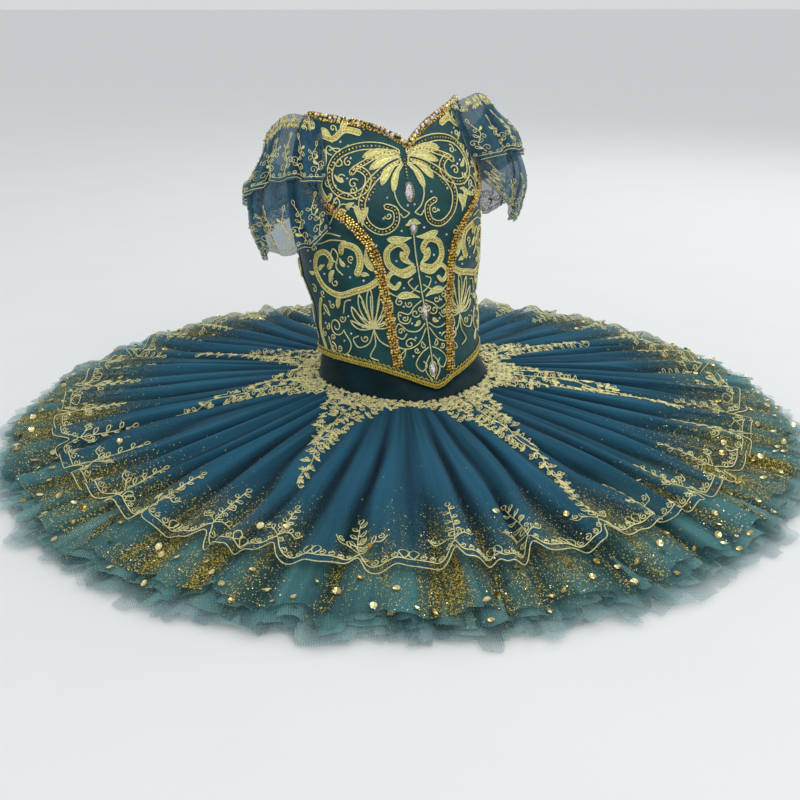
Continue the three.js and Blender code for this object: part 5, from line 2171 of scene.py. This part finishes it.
@dataclass
class Sparkle:
    """Cup sequins and loose glitter on the skirt."""

    layers: dict[str, SkirtLayer]
    finishes: Finishes
    shop: Workshop
    sequins: int = 260
    flakes: int = 9000
    sequin_size: float = 3.6
    flake_size: float = 0.6
    sequin_inset: float = 5
    flake_inset: float = 1
    sequin_rows: tuple[tuple[str, float, float, float], ...] = (
        ("glitter", 428, 478, 0.66), ("middle", 474, 491, 0.22), ("overlay", 350, 415, 0.12))
    flake_rows: tuple[tuple[str, float, float, float], ...] = (
        ("glitter", 405, 481, 0.7), ("overlay", 330, 428, 0.3))

    def scatter(self, layer: SkirtLayer, s: Array, radius: Array, off: float) -> tuple[Array, Array]:
        """Places on a layer and the net's normals there.

        Args:
            layer: The layer.
            s: How far round, from 0 to 1.
            radius: The radius, in millimetres.
            off: Height above the net.

        Returns:
            The places and the normals.
        """
        share = layer.share_at(s, radius)
        here = layer.point(s, share, off)
        round_it = layer.point(s + 0.0008, share, off) - here
        outwards = layer.point(s, share + 0.004, off) - here
        return here, unit(np.cross(outwards, round_it))

    def one_each(self, layer: SkirtLayer, low: float, high: float, part: float,
                 rng: Rng) -> tuple[Array, Array]:
        """Sequins spread evenly round a layer.

        Args:
            layer: The layer.
            low: The inner radius.
            high: The outer radius.
            part: The share of all sequins that lies here.
            rng: The seeded source of places.

        Returns:
            How far round each is, and its radius.
        """
        n = int(self.sequins * part)
        s = (np.arange(n) + rng.uniform(0.1, 0.9, n)) / n
        return s, np.minimum(rng.uniform(low, high, n), layer.hem(s) - self.sequin_inset)

    def in_patches(self, layer: SkirtLayer, low: float, high: float, part: float,
                   rng: Rng) -> tuple[Array, Array]:
        """Glitter in patches, most of it in the valleys and towards the hem.

        Args:
            layer: The layer.
            low: The inner radius.
            high: The outer radius.
            part: The share of all flakes that lies here.
            rng: The seeded source of places.

        Returns:
            How far round each is, and its radius.
        """
        n = int(self.flakes * part * 4)
        s = rng.uniform(0, 1, n)
        patch = 0.5 + 0.25 * np.sin(TAU * (9 * s + 0.1)) + 0.25 * np.sin(TAU * (23 * s + 0.6))
        patch = patch * (0.62 + 0.38 * np.abs(np.sin(TAU * s)))
        sunk = (0.5 - 0.5 * layer.wave(s)) * 0.5 + 0.5
        stay = rng.uniform(0, 1, n) < patch * sunk
        s = s[stay][:int(self.flakes * part)]
        radius = low + (high - low) * rng.beta(2.4, 1.3, len(s))
        return s, np.minimum(radius, layer.hem(s) - self.flake_inset)

    def strewn(self, rows: tuple, draw: Callable, off: float, tilt: float,
               rng: Rng) -> tuple[Array, Array]:
        """Studs over several layers.

        Args:
            rows: A layer, two radii and a share for each.
            draw: The method that draws the places.
            off: Their height above the net.
            tilt: How unevenly they face.
            rng: The seeded source of unevenness.

        Returns:
            The places, and which way each stud faces.
        """
        places, normals = [], []
        for name, low, high, part in rows:
            layer = self.layers[name]
            s, radius = draw(layer, low, high, part, rng)
            where, normal = self.scatter(layer, s, radius, off)
            places.append(where)
            normals.append(normal + rng.normal(0, tilt, normal.shape))
        return np.concatenate(places), np.concatenate(normals)

    def build(self, rng: Rng) -> None:
        """Makes both.

        Args:
            rng: The seeded source of places.
        """
        spots, facing = self.strewn(self.sequin_rows, self.one_each, 1.6, 0.28, rng)
        size = uneven_sizes(rng, 0.85, 1.1, len(spots))
        cups = self.shop.stud_piece("cup_sequins", Stud.CUP, spots, facing, rng.normal(size=spots.shape),
                                    size, self.sequin_size * MM, self.finishes.sequin)
        keep(cups, "sequins")
        spots, facing = self.strewn(self.flake_rows, self.in_patches, 0.7, 0.45, rng)
        size = uneven_sizes(rng, 0.6, 1.25, len(spots))
        dust = self.shop.stud_piece("glitter", Stud.FLAKE, spots, facing, rng.normal(size=spots.shape),
                                    size, self.flake_size * MM, self.finishes.sequin)
        keep(dust, "sequins")


@dataclass
class Studio:
    """A pale table, soft light and the camera."""

    finishes: Finishes
    half: float = 60.0
    floor: float = -0.001
    air: tuple[float, float, float, float] = (0.955, 0.97, 1.0, 1)
    air_strength: float = 0.71
    lamps: tuple[tuple, ...] = (
        ("key", (0.9, -1.8, 2.1), (0, 0, 0.12), 1.5, 19),
        ("fill", (-1.8, -1.0, 1.6), (0, 0, 0.15), 1.4, 3),
        ("back", (1.3, 1.5, 1.9), (0.1, 0, 0.08), 1.6, 14))
    lens: float = 45
    sensor: float = 36
    shift: float = -3 / 800
    eye: tuple[float, float, float] = (-0.1149, -1.1935, 0.505)
    down: float = 21.8
    turned: float = -5.5

    def build(self) -> None:
        """Sets the scene."""
        corners = np.array([(x * self.half, y * self.half, self.floor)
                            for x, y in ((-1, -1), (1, -1), (1, 1), (-1, 1))])
        table = mesh_object("table", corners, np.array([[0, 1, 2, 3]]), self.finishes.table)
        scene = bpy.context.scene
        world = bpy.data.worlds.new("white_room")
        world.use_nodes = True
        background = world.node_tree.nodes["Background"]
        background.inputs["Color"].default_value = self.air
        background.inputs["Strength"].default_value = self.air_strength
        scene.world = world
        for lamp in self.lamps:
            self.light(*lamp)
        camera = bpy.data.cameras.new("camera")
        camera.lens, camera.sensor_width, camera.shift_x = self.lens, self.sensor, self.shift
        view = bpy.data.objects.new("camera", camera)
        view.location = self.eye
        view.rotation_euler = (math.radians(90 - self.down), 0, math.radians(self.turned))
        scene.collection.objects.link(view)
        scene.camera = view
        scene.cycles.transparent_max_bounces = 24
        scene.view_settings.view_transform = "Standard"

    def light(self, name: str, place: tuple, aim: tuple, size: float, power: float) -> None:
        """One soft square light.

        Args:
            name: Its name.
            place: Where it hangs, in metres.
            aim: The point that it faces.
            size: Its side, in metres.
            power: Its power, in watts.
        """
        lamp = bpy.data.lights.new(name, "AREA")
        lamp.size, lamp.energy = size, power
        item = bpy.data.objects.new(name, lamp)
        item.location = place
        away = np.array(aim, float) - np.array(place, float)
        flat = math.hypot(away[0], away[1])
        item.rotation_euler = (math.atan2(flat, -away[2]), 0, math.atan2(-away[0], away[1]))
        bpy.context.scene.collection.objects.link(item)


def skirt_layers() -> tuple[SkirtLayer, tuple[tuple[str, str, SkirtLayer], ...]]:
    """The overlay, and each net with its name and slot, the lowest first."""
    overlay = SkirtLayer("skirt_overlay", 52, 430, 35.5, 66, 1, 5.6, 0.5, 2, 0.1, scallops=34,
                         fine=((17, 1.7, 0.3), (31, 1.7, 0.1), (83, 0.8, 0.2), (131, 0.6, 0.5)), loose=0.34)
    waist = (107.4, 93.4)
    nets = (
        ("net_lower_under", "pale_net", SkirtLayer(
            "skirt_net_lower", 61, 501, 3.4, 30, 0, 1.8, 0.62, 1.4, 0.71, waist, ragged=19, floor=0.3,
            ends=150)),
        ("net_lower_over", "pale_net", SkirtLayer(
            "skirt_net_lower", 67, 497, 6.4, 34, 0, 1.9, 0.4, 1.4, 0.33, waist, ragged=19, floor=0.3,
            ends=163)),
        ("net_middle_under", "net", SkirtLayer(
            "skirt_net_middle", 58, 490, 9.8, 45, 0.5, 2.2, 0.6, 1.5, 0.27, waist, ragged=18, floor=0.3,
            loose=0.15, ends=141)),
        ("net_middle_over", "net", SkirtLayer(
            "skirt_net_middle", 63, 484, 14.0, 50, 0.6, 2.5, 0.35, 1.5, 0.57, ragged=16, floor=0.3,
            loose=0.15, ends=155)),
        ("glitter_net_cloth", "glitter_net", SkirtLayer(
            "skirt_glitter_net", 42, 478, 20.0, 58, 0.86, 3.4, 0.6, 1.6, 0.43, ragged=13, floor=0.3,
            fine=((27, 1.4, 0.2), (97, 0.7, 0.4)), loose=0.2, ends=134)))
    return overlay, nets


def sleeves(form: BodiceForm, finishes: Finishes, shop: Workshop) -> tuple[Sleeve, Sleeve]:
    """Both sleeves as they fell.

    Args:
        form: The bodice that they hang on.
        finishes: Every finish.
        shop: The node trees.

    Returns:
        The left and the right sleeve.
    """
    left = Sleeve(
        "left", -1, 58, 47, 1.7,
        Curve(((140, 34), (168, 37), (200, 38), (216, 37), (240, 30), (266, 23), (292, 15), (312, 10))),
        Curve(((0, 176), (0.12, 158), (0.3, 152), (0.44, 166), (0.6, 140), (0.72, 160), (1, 186))),
        form, finishes, shop)
    right = Sleeve(
        "right", 1, 46, 60, 2.2,
        Curve(((140, 41), (157, 48), (190, 54), (234, 53), (260, 47), (284, 33), (312, 15))),
        Curve(((0, 204), (0.08, 176), (0.16, 150), (0.3, 146), (0.46, 166), (0.66, 152), (1, 186))),
        form, finishes, shop)
    return left, right


def main() -> None:
    """Builds the garment and the studio, the inner pieces first."""
    logging.basicConfig(level=logging.INFO, format="%(name)s %(message)s")
    rng = np.random.default_rng(11)
    finishes = Finishes()
    shop = Workshop()
    form = BodiceForm()
    yoke = Basque(form, finishes, shop)
    yoke.knickers()
    yoke.yoke()
    overlay, nets = skirt_layers()
    SkirtCloth(finishes, overlay, nets).build()
    SkirtLace(overlay, finishes, shop).build(rng)
    by_name = {name: layer for name, _, layer in nets}
    Sparkle({"overlay": overlay, "glitter": by_name["glitter_net_cloth"],
             "middle": by_name["net_middle_over"]}, finishes, shop).build(rng)
    panels = BodicePanels(form, finishes, shop)
    panels.build()
    panels.dress()
    BodiceEmbroidery(form, finishes, shop).build(rng)
    BodiceTrims(form, finishes, shop).build(rng)
    for sleeve in sleeves(form, finishes, shop):
        sleeve.build(rng)
    Studio(finishes).build()


if __name__ == "__main__":
    main()
